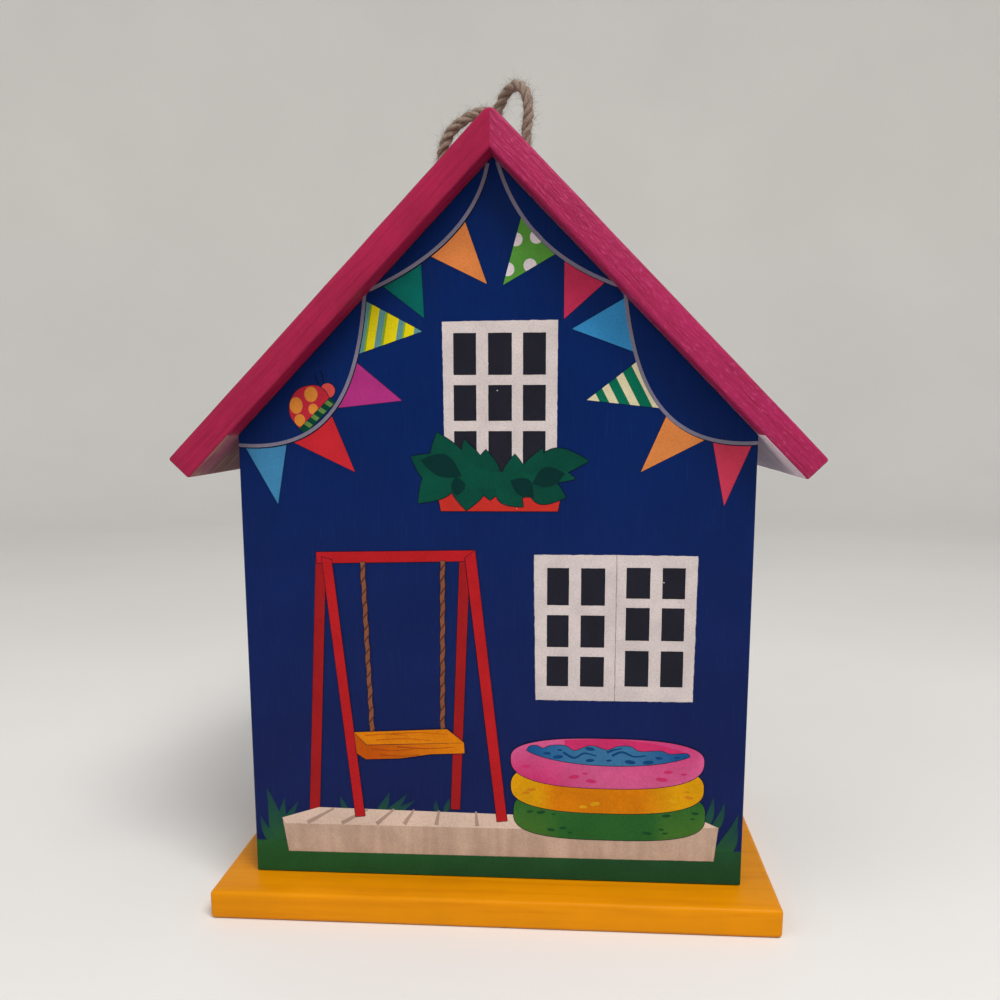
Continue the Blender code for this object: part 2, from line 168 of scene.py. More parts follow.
def makeWoodGrain():
    # grain runs along the vector's X: fine fibres, wider growth bands and short open pores
    tree, given, out = newGroup(
        "woodGrain",
        [("Vector", "Vector", None), ("Fibre Width", "Float", 0.35), ("Band Width", "Float", 4.0)],
        [("Fibres", "Float"), ("Bands", "Float"), ("Pores", "Float")],
    )
    perMetre = maths(tree, "DIVIDE", 1000.0, given["Fibre Width"])
    along = maths(tree, "MULTIPLY", perMetre, 0.025)
    scale = addNode(tree, "ShaderNodeCombineXYZ", {0: along, 1: perMetre, 2: perMetre}).outputs[0]
    fibres = noiseAt(tree, stretched(tree, given["Vector"], scale), detail=4.0, roughness=0.62)
    wide = maths(tree, "DIVIDE", 1000.0, given["Band Width"])
    slow = maths(tree, "MULTIPLY", wide, 0.06)
    scale = addNode(tree, "ShaderNodeCombineXYZ", {0: slow, 1: wide, 2: wide}).outputs[0]
    bands = noiseAt(tree, stretched(tree, given["Vector"], scale), detail=2.0, distortion=0.6)
    poreVector = stretched(tree, given["Vector"], (140.0, 2200.0, 2200.0))
    pores = noiseAt(tree, poreVector, detail=1.0)
    tree.links.new(fibres, out["Fibres"])
    tree.links.new(bands, out["Bands"])
    tree.links.new(fade(tree, pores, 0.62, 0.74), out["Pores"])
    return tree


def makeEdgeAndWear():
    # finds rounded edges from how far the normal leans there, and breaks them up into small rubs
    tree, given, out = newGroup(
        "edgeAndWear",
        [("Vector", "Vector", None), ("Amount", "Float", 0.5), ("Patch Size", "Float", 3.0)],
        [("Edge", "Float"), ("Worn", "Float")],
    )
    lean = addNode(tree, "ShaderNodeBevel", {"Radius": 0.9 * mm}, samples=6).outputs[0]
    flat = addNode(tree, "ShaderNodeNewGeometry").outputs["Normal"]
    between = addNode(tree, "ShaderNodeVectorMath", {0: lean, 1: flat}, operation="DOT_PRODUCT")
    facing = between.outputs["Value"]
    edge = fade(tree, facing, 0.985, 0.86)
    size = maths(tree, "DIVIDE", 1000.0, given["Patch Size"])
    patches = noiseAt(tree, given["Vector"], size, detail=6.0, roughness=0.7)
    limit = maths(tree, "SUBTRACT", 0.86, maths(tree, "MULTIPLY", given["Amount"], 0.5))
    worn = maths(tree, "MULTIPLY", edge, maths(tree, "GREATER_THAN", patches, limit))
    tree.links.new(edge, out["Edge"])
    tree.links.new(worn, out["Worn"])
    return tree


def makeDustSpecks():
    # small pale specks, few and far between
    tree, given, out = newGroup(
        "dustSpecks",
        [("Vector", "Vector", None), ("Spacing", "Float", 7.0), ("Size", "Float", 0.05)],
        [("Specks", "Float")],
    )
    scale = maths(tree, "DIVIDE", 1000.0, given["Spacing"])
    inputs = {"Vector": given["Vector"], "Scale": scale}
    cells = addNode(tree, "ShaderNodeTexVoronoi", inputs).outputs
    near = maths(tree, "LESS_THAN", cells["Distance"], given["Size"])
    chance = addNode(tree, "ShaderNodeSeparateColor", {0: cells["Color"]}).outputs[0]
    tree.links.new(maths(tree, "MULTIPLY", near, maths(tree, "GREATER_THAN", chance, 0.6)), out["Specks"])
    return tree


def makeUnevenTone():
    # slow changes of tone where paint lies thicker or the wood drinks more of it
    tree, given, out = newGroup(
        "unevenTone",
        [
            ("Vector", "Vector", None),
            ("Colour", "Color", None),
            ("Size", "Float", 25.0),
            ("Amount", "Float", 0.2),
        ],
        [("Colour", "Color")],
    )
    scale = maths(tree, "DIVIDE", 1000.0, given["Size"])
    slow = noiseAt(tree, given["Vector"], scale, detail=3.0)
    gain = fade(tree, slow, 0.3, 0.7, -1.0, 1.0)
    brightness = maths(tree, "ADD", 1.0, maths(tree, "MULTIPLY", gain, given["Amount"]))
    channels = {0: brightness, 1: brightness, 2: brightness}
    grey = addNode(tree, "ShaderNodeCombineColor", channels).outputs[0]
    tree.links.new(multiplied(tree, given["Colour"], grey), out["Colour"])
    return tree


woodGrain = makeWoodGrain()
edgeAndWear = makeEdgeAndWear()
dustSpecks = makeDustSpecks()
unevenTone = makeUnevenTone()


def newMaterial(name, roughness, specular=0.5):
    made = bpy.data.materials.new(name)
    made.use_nodes = True
    shader = made.node_tree.nodes["Principled BSDF"]
    shader.inputs["Roughness"].default_value = roughness
    shader.inputs["Specular IOR Level"].default_value = specular
    return made, made.node_tree, shader.inputs


def objectVector(tree, turn=(0.0, 0.0, 0.0)):
    # object coordinates, turned so that X runs along the grain
    place = addNode(tree, "ShaderNodeTexCoord").outputs["Object"]
    angles = tuple(math.radians(angle) for angle in turn)
    return addNode(tree, "ShaderNodeMapping", {"Vector": place, "Rotation": angles}).outputs[0]


def objectAxis(tree, axis):
    place = addNode(tree, "ShaderNodeTexCoord").outputs["Object"]
    return addNode(tree, "ShaderNodeSeparateXYZ", {0: place}).outputs[axis]


def bumped(tree, shader, *layers):
    # each layer is (height, distance in mm); they are stacked on each other
    normal = None
    for height, depth in layers:
        inputs = {"Height": height, "Distance": depth * mm, "Strength": 1.0}
        if normal:
            inputs["Normal"] = normal
        normal = addNode(tree, "ShaderNodeBump", inputs).outputs[0]
    tree.links.new(normal, shader["Normal"])


roofPaint = {
    "colour": linear(152, 20, 60),
    "paintedSheen": linear(170, 40, 96),
    "deep": linear(124, 10, 46),
    "rubbed": linear(196, 92, 122),
    "glint": linear(196, 72, 122),
    "roughness": 0.40,
    "specular": 0.17,
    "seam": (0.4 * mm, 2.0 * mm),
}


def crimsonPaint(side, sign, reliefAndSheen):
    # satin paint brushed down the slope, with the wood's grain standing through it; reliefAndSheen
    # deepens the grain's bumps and also paints sheen into the colour: a paler, pinker body and painted
    # glints along the ridges
    look = roofPaint
    material, tree, shader = newMaterial("crimsonPaint" + side, look["roughness"], look["specular"])
    vector = objectVector(tree, (0.0, -sign * roofPitch, 0.0))
    grain = useGroup(tree, woodGrain, {"Vector": vector, "Fibre Width": 0.55, "Band Width": 3.5})
    edgeMasks = useGroup(tree, edgeAndWear, {"Vector": vector, "Amount": 0.42, "Patch Size": 1.6})
    # painted sheen: the body colour moves towards a paler pink as reliefAndSheen grows
    body = tuple(a + (b - a) * 0.55 * reliefAndSheen for a, b in zip(look["colour"], look["paintedSheen"]))
    tone = useGroup(tree, unevenTone, {"Vector": vector, "Colour": body, "Size": 18.0, "Amount": 0.10})
    dips = fade(tree, grain["Fibres"], 0.56, 0.34)
    colour = tinted(tree, tone["Colour"], dips, 0.55, look["deep"])
    ridges = noiseAt(tree, stretched(tree, vector, (420.0, 1500.0, 1500.0)), detail=3.0, roughness=0.6)
    # painted highlights: glint colour laid where the grain ridges stand high
    colour = tinted(tree, colour, fade(tree, ridges, 0.55, 0.68), 0.42 * reliefAndSheen, look["glint"])
    fromRidge = maths(tree, "ABSOLUTE", objectAxis(tree, "X"))
    clear = fade(tree, fromRidge, *look["seam"])
    edge = maths(tree, "MULTIPLY", edgeMasks["Edge"], clear)
    worn = maths(tree, "MULTIPLY", edgeMasks["Worn"], clear)
    # every rounded edge a little paler, partly rubbed paint and partly a painted highlight; the patchy
    # worn spots are rubbed paint
    colour = tinted(tree, colour, edge, 0.25, look["rubbed"])
    colour = tinted(tree, colour, worn, 0.8, look["rubbed"])
    tree.links.new(colour, shader["Base Color"])
    shine = fade(tree, grain["Fibres"], 0.35, 0.65, 0.52, 0.34)
    tree.links.new(shine, shader["Roughness"])
    peel = noiseAt(tree, vector, 900.0, detail=2.0)
    depths = [(grain["Bands"], 0.12 + 0.12 * reliefAndSheen), (ridges, 0.34 * reliefAndSheen)]
    bumped(tree, shader, *depths, (grain["Fibres"], 0.10 + 0.08 * reliefAndSheen), (peel, 0.03))
    return material


printBlue = {
    "upper": linear(0, 30, 86),
    # lower: the same blue with a painted reflection of a warm surface below
    "lower": linear(14, 28, 80),
    "roughness": 0.34,
    "specular": 0.08,
    "fade": (40 * mm, 180 * mm),
    "fibre": linear(70, 90, 140),
    "edge": linear(6, 12, 40),
    "rubbed": linear(150, 140, 135),
    "speck": linear(190, 195, 205),
    "grass": linear(34, 66, 36),
    "grassTop": 21.8 * mm,
}


def bluePrint():
    # blue ink over upright wood grain; the lower part is a little redder, a painted reflection of a warm
    # surface below
    look = printBlue
    material, tree, shader = newMaterial("bluePrint", look["roughness"], look["specular"])
    height = objectAxis(tree, "Z")
    vector = objectVector(tree, (0.0, 90.0, 0.0))
    grain = useGroup(tree, woodGrain, {"Vector": vector, "Fibre Width": 0.4, "Band Width": 5.0})
    edgeMasks = useGroup(tree, edgeAndWear, {"Vector": vector, "Amount": 0.3, "Patch Size": 1.2})
    specks = useGroup(tree, dustSpecks, {"Vector": vector, "Spacing": 9.0, "Size": 0.022})
    # painted reflection: the blue turns redder towards the floor
    colour = blendColours(tree, fade(tree, height, *look["fade"]), look["lower"], look["upper"])
    onGrass = maths(tree, "LESS_THAN", height, look["grassTop"])
    colour = blendColours(tree, onGrass, colour, look["grass"])
    tone = useGroup(tree, unevenTone, {"Vector": vector, "Colour": colour, "Size": 30.0, "Amount": 0.08})
    colour = tinted(tree, tone["Colour"], fade(tree, grain["Fibres"], 0.55, 0.75), 0.10, look["fibre"])
    colour = tinted(tree, colour, edgeMasks["Edge"], 0.5, look["edge"])
    colour = tinted(tree, colour, edgeMasks["Worn"], 0.5, look["rubbed"])
    colour = blendColours(tree, specks["Specks"], colour, look["speck"])
    tree.links.new(colour, shader["Base Color"])
    bumped(tree, shader, (grain["Bands"], 0.08), (grain["Fibres"], 0.14))
    return material


inkLook = {
    "roughness": 0.36,
    "specular": 0.08,
    "stipple": (0.80, 0.78, 0.78, 1.0),
    "speck": linear(200, 200, 205),
}


def printInk():
    # the picture's colours come from the films' own ink attribute, and the wood shows through them
    material, tree, shader = newMaterial("printInk", inkLook["roughness"], inkLook["specular"])
    vector = objectVector(tree, (0.0, 90.0, 0.0))
    ink = addNode(tree, "ShaderNodeAttribute", attribute_name="ink").outputs["Color"]
    grain = useGroup(tree, woodGrain, {"Vector": vector, "Fibre Width": 0.4, "Band Width": 3.0})
    specks = useGroup(tree, dustSpecks, {"Vector": vector, "Spacing": 9.0, "Size": 0.022})
    tone = useGroup(tree, unevenTone, {"Vector": vector, "Colour": ink, "Size": 9.0, "Amount": 0.07})
    stipple = noiseAt(tree, vector, 1500.0, detail=2.0)
    darker = multiplied(tree, tone["Colour"], inkLook["stipple"])
    colour = tinted(tree, tone["Colour"], fade(tree, stipple, 0.42, 0.62), 0.5, darker)
    colour = tinted(tree, colour, grain["Pores"], 0.25, darker)
    colour = blendColours(tree, specks["Specks"], colour, inkLook["speck"])
    tree.links.new(colour, shader["Base Color"])
    bumped(tree, shader, (grain["Bands"], 0.03), (grain["Fibres"], 0.04))
    return material


yellowPaint = {
    "colour": linear(218, 137, 0),
    "deep": linear(192, 108, 0),
    # edge: paler yellow for a painted highlight along the rounded edges
    "edge": linear(230, 168, 40),
    "rubbed": linear(252, 226, 150),
    "roughness": 0.36,
    "specular": 0.10,
}


def yellowBrushed(name, turn):
    # thick yellow paint; the rounded edges are painted paler as a painted highlight, and rubbed spots on
    # them are paler still
    look = yellowPaint
    material, tree, shader = newMaterial(name, look["roughness"], look["specular"])
    vector = objectVector(tree, turn)
    grain = useGroup(tree, woodGrain, {"Vector": vector, "Fibre Width": 0.7, "Band Width": 5.0})
    edgeMasks = useGroup(tree, edgeAndWear, {"Vector": vector, "Amount": 0.40, "Patch Size": 1.2})
    tones = {"Vector": vector, "Colour": look["colour"], "Size": 26.0, "Amount": 0.05}
    tone = useGroup(tree, unevenTone, tones)
    colour = tinted(tree, tone["Colour"], fade(tree, grain["Bands"], 0.55, 0.3), 0.35, look["deep"])
    # painted highlight along every rounded edge
    colour = tinted(tree, colour, edgeMasks["Edge"], 0.45, look["edge"])
    colour = tinted(tree, colour, edgeMasks["Worn"], 0.6, look["rubbed"])
    tree.links.new(colour, shader["Base Color"])
    tree.links.new(fade(tree, grain["Fibres"], 0.3, 0.7, 0.46, 0.34), shader["Roughness"])
    bumped(tree, shader, (grain["Bands"], 0.10), (grain["Fibres"], 0.05))
    return material


bareTimber = {
    "early": linear(196, 170, 138),
    "late": linear(150, 116, 84),
    "shade": (0.50, 0.45, 0.44, 1.0),
    "pore": linear(92, 66, 46),
    "mauve": linear(142, 40, 92),
    # paintedBounceLight: a pale tint standing in for light bounced up onto the soffit
    "paintedBounceLight": linear(244, 226, 244),
    "roughness": 0.72,
}


def bareWood(name, turn, sprayAndBounce=0.0, sprayAndBounceTint="mauve", cover=0.22):
    # unpainted plank; sprayAndBounce is how thickly a tint lies over it, drifted paint mist with the
    # mauve tint and painted bounce light with the paintedBounceLight tint, and a low cover leaves fewer
    # gaps
    material, tree, shader = newMaterial(name, bareTimber["roughness"])
    vector = objectVector(tree, turn)
    grain = useGroup(tree, woodGrain, {"Vector": vector, "Fibre Width": 0.5, "Band Width": 3.0})
    rings = fade(tree, grain["Bands"], 0.35, 0.65)
    colour = blendColours(tree, rings, bareTimber["early"], bareTimber["late"])
    if sprayAndBounce:
        sprayAndBouncePatches = fade(tree, noiseAt(tree, vector, 60.0, detail=5.0), cover, cover + 0.40)
        colour = tinted(tree, colour, sprayAndBouncePatches, sprayAndBounce, bareTimber[sprayAndBounceTint])
    darker = multiplied(tree, colour, bareTimber["shade"])
    colour = tinted(tree, colour, fade(tree, grain["Fibres"], 0.42, 0.68), 0.60, darker)
    colour = tinted(tree, colour, grain["Pores"], 0.6, bareTimber["pore"])
    tree.links.new(colour, shader["Base Color"])
    bumped(tree, shader, (grain["Bands"], 0.08), (grain["Fibres"], 0.12), (grain["Pores"], 0.08))
    return material


zincLook = {
    "grey": linear(176, 174, 166),
    "straw": linear(206, 200, 180),
    "roughness": 0.34,
}


def zincPlate():
    # zinc-plated steel with a faint yellow cast and small scuffs
    material, tree, shader = newMaterial("zincPlate", zincLook["roughness"])
    shader["Metallic"].default_value = 1.0
    vector = objectVector(tree)
    clouds = fade(tree, noiseAt(tree, vector, 420.0, detail=5.0), 0.35, 0.65)
    colour = blendColours(tree, clouds, zincLook["grey"], zincLook["straw"])
    tree.links.new(colour, shader["Base Color"])
    scuffs = noiseAt(tree, stretched(tree, vector, (5200.0, 900.0, 900.0)), detail=3.0)
    tree.links.new(fade(tree, scuffs, 0.4, 0.7, 0.28, 0.5), shader["Roughness"])
    bumped(tree, shader, (scuffs, 0.012))
    return material


juteLook = {
    "pale": linear(174, 151, 130),
    "brown": linear(98, 78, 67),
    "grooveShade": linear(56, 44, 40),
    "roughness": 0.88,
    "sheen": 0.25,
    "sheenRoughness": 0.5,
}


def juteFibre():
    # yarn fibres run along each strand; the grooves between the strands are darkened with painted shade
    material, tree, shader = newMaterial("juteFibre", juteLook["roughness"])
    shader["Sheen Weight"].default_value = juteLook["sheen"]
    shader["Sheen Roughness"].default_value = juteLook["sheenRoughness"]
    yarn = addNode(tree, "ShaderNodeUVMap", uv_map="yarn").outputs[0]
    fibres = noiseAt(tree, stretched(tree, yarn, (160.0, 26.0, 1.0)), detail=5.0, roughness=0.7)
    clumps = noiseAt(tree, stretched(tree, yarn, (60.0, 3.0, 1.0)), detail=3.0)
    grooveShade = addNode(tree, "ShaderNodeAttribute", attribute_name="grooveShade").outputs["Fac"]
    colour = blendColours(tree, fade(tree, fibres, 0.3, 0.7), juteLook["brown"], juteLook["pale"])
    colour = tinted(tree, colour, fade(tree, clumps, 0.5, 0.8), 0.5, juteLook["brown"])
    # painted shade in the grooves between the strands
    colour = blendColours(tree, fade(tree, grooveShade, 0.25, 0.95, 0.0, 0.8), colour, juteLook["grooveShade"])
    tree.links.new(colour, shader["Base Color"])
    bumped(tree, shader, (clumps, 0.20), (fibres, 0.16))
    return material


# the right board gets the full painted sheen and glints, the left only a little of them
crimsonLeft = crimsonPaint("Left", -1, 0.15)
crimsonRight = crimsonPaint("Right", 1, 1.0)
blueWall = bluePrint()
inks = printInk()
yellowBase = yellowBrushed("yellowBase", (0.0, 0.0, 0.0))
yellowPerch = yellowBrushed("yellowPerch", (0.0, 0.0, 90.0))
soffitLeft = bareWood("soffitWoodLeft", (0.0, roofPitch, 0.0), 0.85)
# the right soffit is made paler with painted bounce light, as if lit from below
soffitRightLit = bareWood("soffitWoodRightLit", (0.0, -roofPitch, 0.0), 0.80, "paintedBounceLight", 0.05)
wallWood = bareWood("wallWood", (0.0, 90.0, 0.0))
zinc = zincPlate()
jute = juteFibre()
print("materials made")


# rope: three strands wound round the route, swept as one tube

hangingRope = {
    "radius": 2.0 * mm,
    "strands": 3,
    "strandOffset": 0.86 * mm,
    "strandRadius": 1.14 * mm,
    "lay": 12.0 * mm,
    "step": 0.5 * mm,
    "sides": 36,
    "holeInset": 8.0 * mm,
    "holeLow": 240.12 * mm,
    "holeMouth": 255.92 * mm,
    "length": 184.0 * mm,
    "route": [
        (-0.0074, 0.0006, 0.2615),
        (-0.0050, 0.0010, 0.2668),
        (-0.0027, 0.0002, 0.2718),
        (-0.0028, -0.0016, 0.2765),
        (-0.0060, -0.0030, 0.2795),
        (-0.0105, -0.0032, 0.2795),
        (-0.0155, -0.0026, 0.2772),
        (-0.0203, -0.0018, 0.2735),
        (-0.0231, -0.0005, 0.2680),
        (-0.0236, 0.0014, 0.2618),
        (-0.0214, 0.0038, 0.2564),
        (-0.0163, 0.0064, 0.2542),
        (-0.0113, 0.0082, 0.2566),
        (-0.0087, 0.0090, 0.2626),
        (-0.0068, 0.0092, 0.2700),
        (-0.0052, 0.0088, 0.2775),
        (-0.0030, 0.0074, 0.2845),
        (0.0004, 0.0046, 0.2892),
        (0.0042, 0.0012, 0.2902),
        (0.0074, -0.0014, 0.2870),
        (0.0086, -0.0024, 0.2810),
        (0.0078, -0.0020, 0.2730),
        (0.0074, -0.0008, 0.2650),
    ],
    "wobble": 0.20 * mm,
    "hairs": 3200,
    "hairThick": 0.032 * mm,
    "hairLength": (1.0, 3.4),
    "smoothEnds": 40,
    "knotTube": 1.45 * mm,
    "knotRise": 1.5 * mm,
    "knotPoints": 150,
}


def smoothRoute(points, spacing):
    # a Catmull-Rom curve through the points, walked in equal steps
    ends = [2 * points[0] - points[1], *points, 2 * points[-1] - points[-2]]
    fine = []
    for before, start, end, after in zip(ends, ends[1:], ends[2:], ends[3:]):
        for i in range(24):
            t = i / 24
            curve = 2 * start + (end - before) * t + (2 * before - 5 * start + 4 * end - after) * t**2
            fine.append(0.5 * (curve + (3 * start - before - 3 * end + after) * t**3))
    fine.append(points[-1])
    walked = [0.0]
    for start, end in zip(fine, fine[1:]):
        walked.append(walked[-1] + (end - start).length)
    count = round(walked[-1] / spacing)
    steps, j = [], 0
    for i in range(count + 1):
        target = walked[-1] * i / count
        while j < len(fine) - 2 and walked[j + 1] < target:
            j += 1
        share = (target - walked[j]) / (walked[j + 1] - walked[j])
        steps.append(fine[j].lerp(fine[j + 1], min(share, 1.0)))
    return steps


def framesAlong(points, closed=False):
    # a direction and a side for each point, carried along without twisting
    frames = []
    side = None
    for i, point in enumerate(points):
        after = points[(i + 1) % len(points)] if closed or i + 1 < len(points) else point
        before = points[i - 1] if closed or i else point
        ahead = (after - before).normalized()
        if side is None:
            side = ahead.orthogonal()
        side = (side - ahead * side.dot(ahead)).normalized()
        frames.append((point, ahead, side))
    return frames


def strandSection(angle):
    # how far the rope's surface is from its middle, three lobes round
    spread = 2 * math.pi / hangingRope["strands"]
    lean = (angle + spread / 2) % spread - spread / 2
    offset, radius = hangingRope["strandOffset"], hangingRope["strandRadius"]
    return offset * math.cos(lean) + math.sqrt(radius**2 - (offset * math.sin(lean)) ** 2)


def sweepRope(name, points, scale=1.0, closed=False):
    bm = bmesh.new()
    yarn = bm.loops.layers.uv.new("yarn")
    grooveShade = bm.verts.layers.float.new("grooveShade")
    sides, lay, wobble = (hangingRope[key] for key in ("sides", "lay", "wobble"))
    rings, walked = [], 0.0
    frames = framesAlong(points, closed)
    for i, (point, ahead, side) in enumerate(frames):
        if i:
            walked += (point - frames[i - 1][0]).length
        turn = 2 * math.pi * walked / lay
        ring = []
        for k in range(sides):
            angle = 2 * math.pi * k / sides
            reach = strandSection(angle) * scale
            fuzz = noise.noise(Vector((angle * 2.2, walked / (1.1 * mm), scale)))
            fuzz += 1.4 * noise.noise(Vector((angle * 0.9, walked / (4.0 * mm), scale + 7)))
            way = side * math.cos(angle + turn) + ahead.cross(side) * math.sin(angle + turn)
            vertex = bm.verts.new(point + way * (reach + wobble * fuzz))
            # grooveShade: how deep the surface lies between the strands, which darkens it as painted
            # shade
            deep = (hangingRope["radius"] * scale - reach) / (hangingRope["radius"] * scale * 0.5)
            vertex[grooveShade] = max(0.0, min(1.0, deep))
            ring.append(vertex)
        rings.append((ring, walked))
    pairs = list(zip(rings, rings[1:]))
    if closed:
        pairs.append((rings[-1], (rings[0][0], rings[-1][1] + hangingRope["step"])))
    for (lower, start), (upper, end) in pairs:
        for k in range(sides):
            after = (k + 1) % sides
            face = bm.faces.new((lower[k], lower[after], upper[after], upper[k]))
            spots = ((start, k), (start, k + 1), (end, k + 1), (end, k))
            for loop, (distance, number) in zip(face.loops, spots):
                loop[yarn].uv = (distance * 10, number / sides)
    if not closed:
        bm.faces.new(list(reversed(rings[0][0])))
        bm.faces.new(rings[-1][0])
    return meshPiece(name, bm, jute)


def meshPiece(name, bm, *materials, smooth=True):
    bmesh.ops.recalc_face_normals(bm, faces=bm.faces)
    mesh = bpy.data.meshes.new(name)
    bm.to_mesh(mesh)
    bm.free()
    for material in materials:
        mesh.materials.append(material)
    if smooth:
        mesh.shade_smooth()
    piece = bpy.data.objects.new(name, mesh)
    bpy.context.scene.collection.objects.link(piece)
    return piece


def addRopeHairs(points):
    # loose fibres that stand off the rope, each a thin three-sided thread
    random.seed(11)
    bm = bmesh.new()
    bm.loops.layers.uv.new("yarn")
    bm.verts.layers.float.new("grooveShade")
    ends = hangingRope["smoothEnds"]
    frames = framesAlong(points)[ends:-ends]
    for _ in range(hangingRope["hairs"]):
        point, ahead, side = random.choice(frames)
        angle = random.uniform(0, 2 * math.pi)
        out = side * math.cos(angle) + ahead.cross(side) * math.sin(angle)
        lean = ahead * random.uniform(-1.6, 1.6)
        way = (out * random.uniform(0.25, 1.0) + lean).normalized()
        curl = Vector([random.uniform(-1, 1) for _ in range(3)]) * 0.45
        length = random.uniform(*hangingRope["hairLength"]) * random.choice((1.0, 1.0, 1.0, 2.1)) * mm
        spot = point + out * hangingRope["radius"] * 0.85
        rings = []
        for i in range(4):
            share = i / 3
            thick = hangingRope["hairThick"] * (1.0 - 0.6 * share)
            across = way.orthogonal().normalized()
            ring = []
            for k in range(3):
                turn = 2 * math.pi * k / 3
                offset = across * math.cos(turn) + way.cross(across) * math.sin(turn)
                ring.append(bm.verts.new(spot + offset * thick))
            rings.append(ring)
            spot = spot + way * length / 3
            way = (way + curl).normalized()
        for lower, upper in zip(rings, rings[1:]):
            for k in range(3):
                bm.faces.new((lower[k], lower[(k + 1) % 3], upper[(k + 1) % 3], upper[k]))
        bm.faces.new(list(reversed(rings[0])))
        bm.faces.new(rings[-1])
    return meshPiece("ropeHairs", bm, jute)


def addKnot(side, sign):
    # an overhand knot under the roof, drawn as the closed curve that such a knot tightens to
    low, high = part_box("cord_knot_" + side)
    centre = (low + high) / 2
    tube, rise, count = (hangingRope[key] for key in ("knotTube", "knotRise", "knotPoints"))
    reach = ((high.x - low.x) / 2 - tube) / 3
    points = []
    for i in range(count):
        t = 2 * math.pi * i / count
        x = math.sin(t) + 2 * math.sin(2 * t)
        y = math.cos(t) - 2 * math.cos(2 * t)
        points.append(centre + Vector((sign * x * reach, y * reach, -math.sin(3 * t) * rise)))
    thinner = tube / hangingRope["radius"]
    knot = sweepRope("ropeKnot" + side.capitalize(), points, scale=thinner, closed=True)
    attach(knot, "house")
    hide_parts("cord_knot_" + side)
    return knot


def addHangingRope():
    inset, low, mouth = (hangingRope[key] for key in ("holeInset", "holeLow", "holeMouth"))
    heights = (low, (low + mouth) / 2, mouth)
    left = [Vector((-inset, 0, z)) for z in heights]
    right = [Vector((inset, 0, z)) for z in reversed(heights)]
    points = smoothRoute(left + [Vector(p) for p in hangingRope["route"]] + right, hangingRope["step"])
    rope = sweepRope("hangingRope", points)
    hairs = addRopeHairs(points)
    knots = [addKnot("left", -1), addKnot("right", 1)]
    for piece in (rope, hairs):
        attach(piece, "house")
    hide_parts("hanging_cord")


addHangingRope()
print("rope wound")


# board work

sawBlade = 0.000001  # points nearer than this to a cut lie in it
tolerance = 0.00001  # what counts as the same place


def workOn(piece):
    bpy.ops.object.select_all(action="DESELECT")
    piece.select_set(True)
    bpy.context.view_layer.objects.active = piece


def finishPrimitive(name):
    made = bpy.context.object
    made.name = name
    made.data.name = name
    bpy.ops.object.transform_apply(location=True, rotation=True, scale=True)
    return made


def addBlock(name, low, high):
    bpy.ops.object.select_all(action="DESELECT")
    low, high = Vector(low), Vector(high)
    bpy.ops.mesh.primitive_cube_add(size=1, location=(low + high) / 2, scale=high - low)
    return finishPrimitive(name)


def addRod(name, low, high, length, turn, sides):
    bpy.ops.object.select_all(action="DESELECT")
    radius = (high.z - low.z) / 2
    bpy.ops.mesh.primitive_cylinder_add(
        vertices=sides, radius=radius, depth=length, location=(low + high) / 2, rotation=turn
    )
    return finishPrimitive(name)


def saw(piece, place, normal, closed=True):
    # what lies in front of the cut falls away
    workOn(piece)
    bpy.ops.object.mode_set(mode="EDIT")
    bpy.ops.mesh.select_all(action="SELECT")
    bpy.ops.mesh.bisect(
        plane_co=place, plane_no=normal, use_fill=closed, clear_outer=True, threshold=sawBlade
    )
    bpy.ops.object.mode_set(mode="OBJECT")


def score(piece, cuts):
    # new edges across the piece at each (place, normal), so that its faces can follow the wood
    workOn(piece)
    bpy.ops.object.mode_set(mode="EDIT")
    for place, normal in cuts:
        bpy.ops.mesh.select_all(action="SELECT")
        bpy.ops.mesh.bisect(plane_co=place, plane_no=normal, threshold=sawBlade)
    bpy.ops.object.mode_set(mode="OBJECT")


def roundEdges(piece, width, segments, chosen):
    # chosen(middle, direction) says which edges are rounded
    workOn(piece)
    bpy.ops.object.mode_set(mode="EDIT")
    bpy.ops.mesh.select_mode(type="EDGE")
    bpy.ops.mesh.select_all(action="DESELECT")
    bm = bmesh.from_edit_mesh(piece.data)
    for edge in bm.edges:
        start, end = (vertex.co for vertex in edge.verts)
        if chosen((start + end) / 2, (end - start).normalized()):
            edge.select_set(True)
    bmesh.update_edit_mesh(piece.data)
    bpy.ops.mesh.bevel(offset=width, segments=segments, affect="EDGES")
    bpy.ops.mesh.select_mode(type="VERT")
    bpy.ops.object.mode_set(mode="OBJECT")


def drill(piece, centre, axis, radius, length, sides):
    bpy.ops.object.select_all(action="DESELECT")
    turn = Vector((0, 0, 1)).rotation_difference(Vector(axis)).to_euler()
    bpy.ops.mesh.primitive_cylinder_add(
        vertices=sides, radius=radius, depth=length, location=centre, rotation=turn
    )
    bit = bpy.context.object
    workOn(piece)
    hole = piece.modifiers.new("hole", "BOOLEAN")
    hole.object = bit
    bpy.ops.object.modifier_apply(modifier=hole.name)
    bpy.data.objects.remove(bit)


def easeRim(piece, centre, axis, radius, width):
    # rounds the hole's rim in the face that holds the centre
    axis, centre = Vector(axis), Vector(centre)

    def onRim(middle, direction):
        offset = middle - centre
        return abs(offset.dot(axis)) < tolerance and abs(offset.length - radius) < radius * 0.01

    roundEdges(piece, width, 3, onRim)


def spread(low, high, step):
    # evenly spaced places strictly between low and high
    count = max(1, round((high - low) / step))
    return [low + (high - low) * i / count for i in range(1, count)]


def weather(piece, height, size, seed):
    # hand-sanded boards are never quite flat
    for vertex in piece.data.vertices:
        vertex.co += vertex.normal * height * noise.noise(vertex.co / size + Vector((seed, 0, 0)))


def shadeBoard(piece):
    workOn(piece)
    bpy.ops.object.shade_smooth_by_angle(angle=math.radians(40))


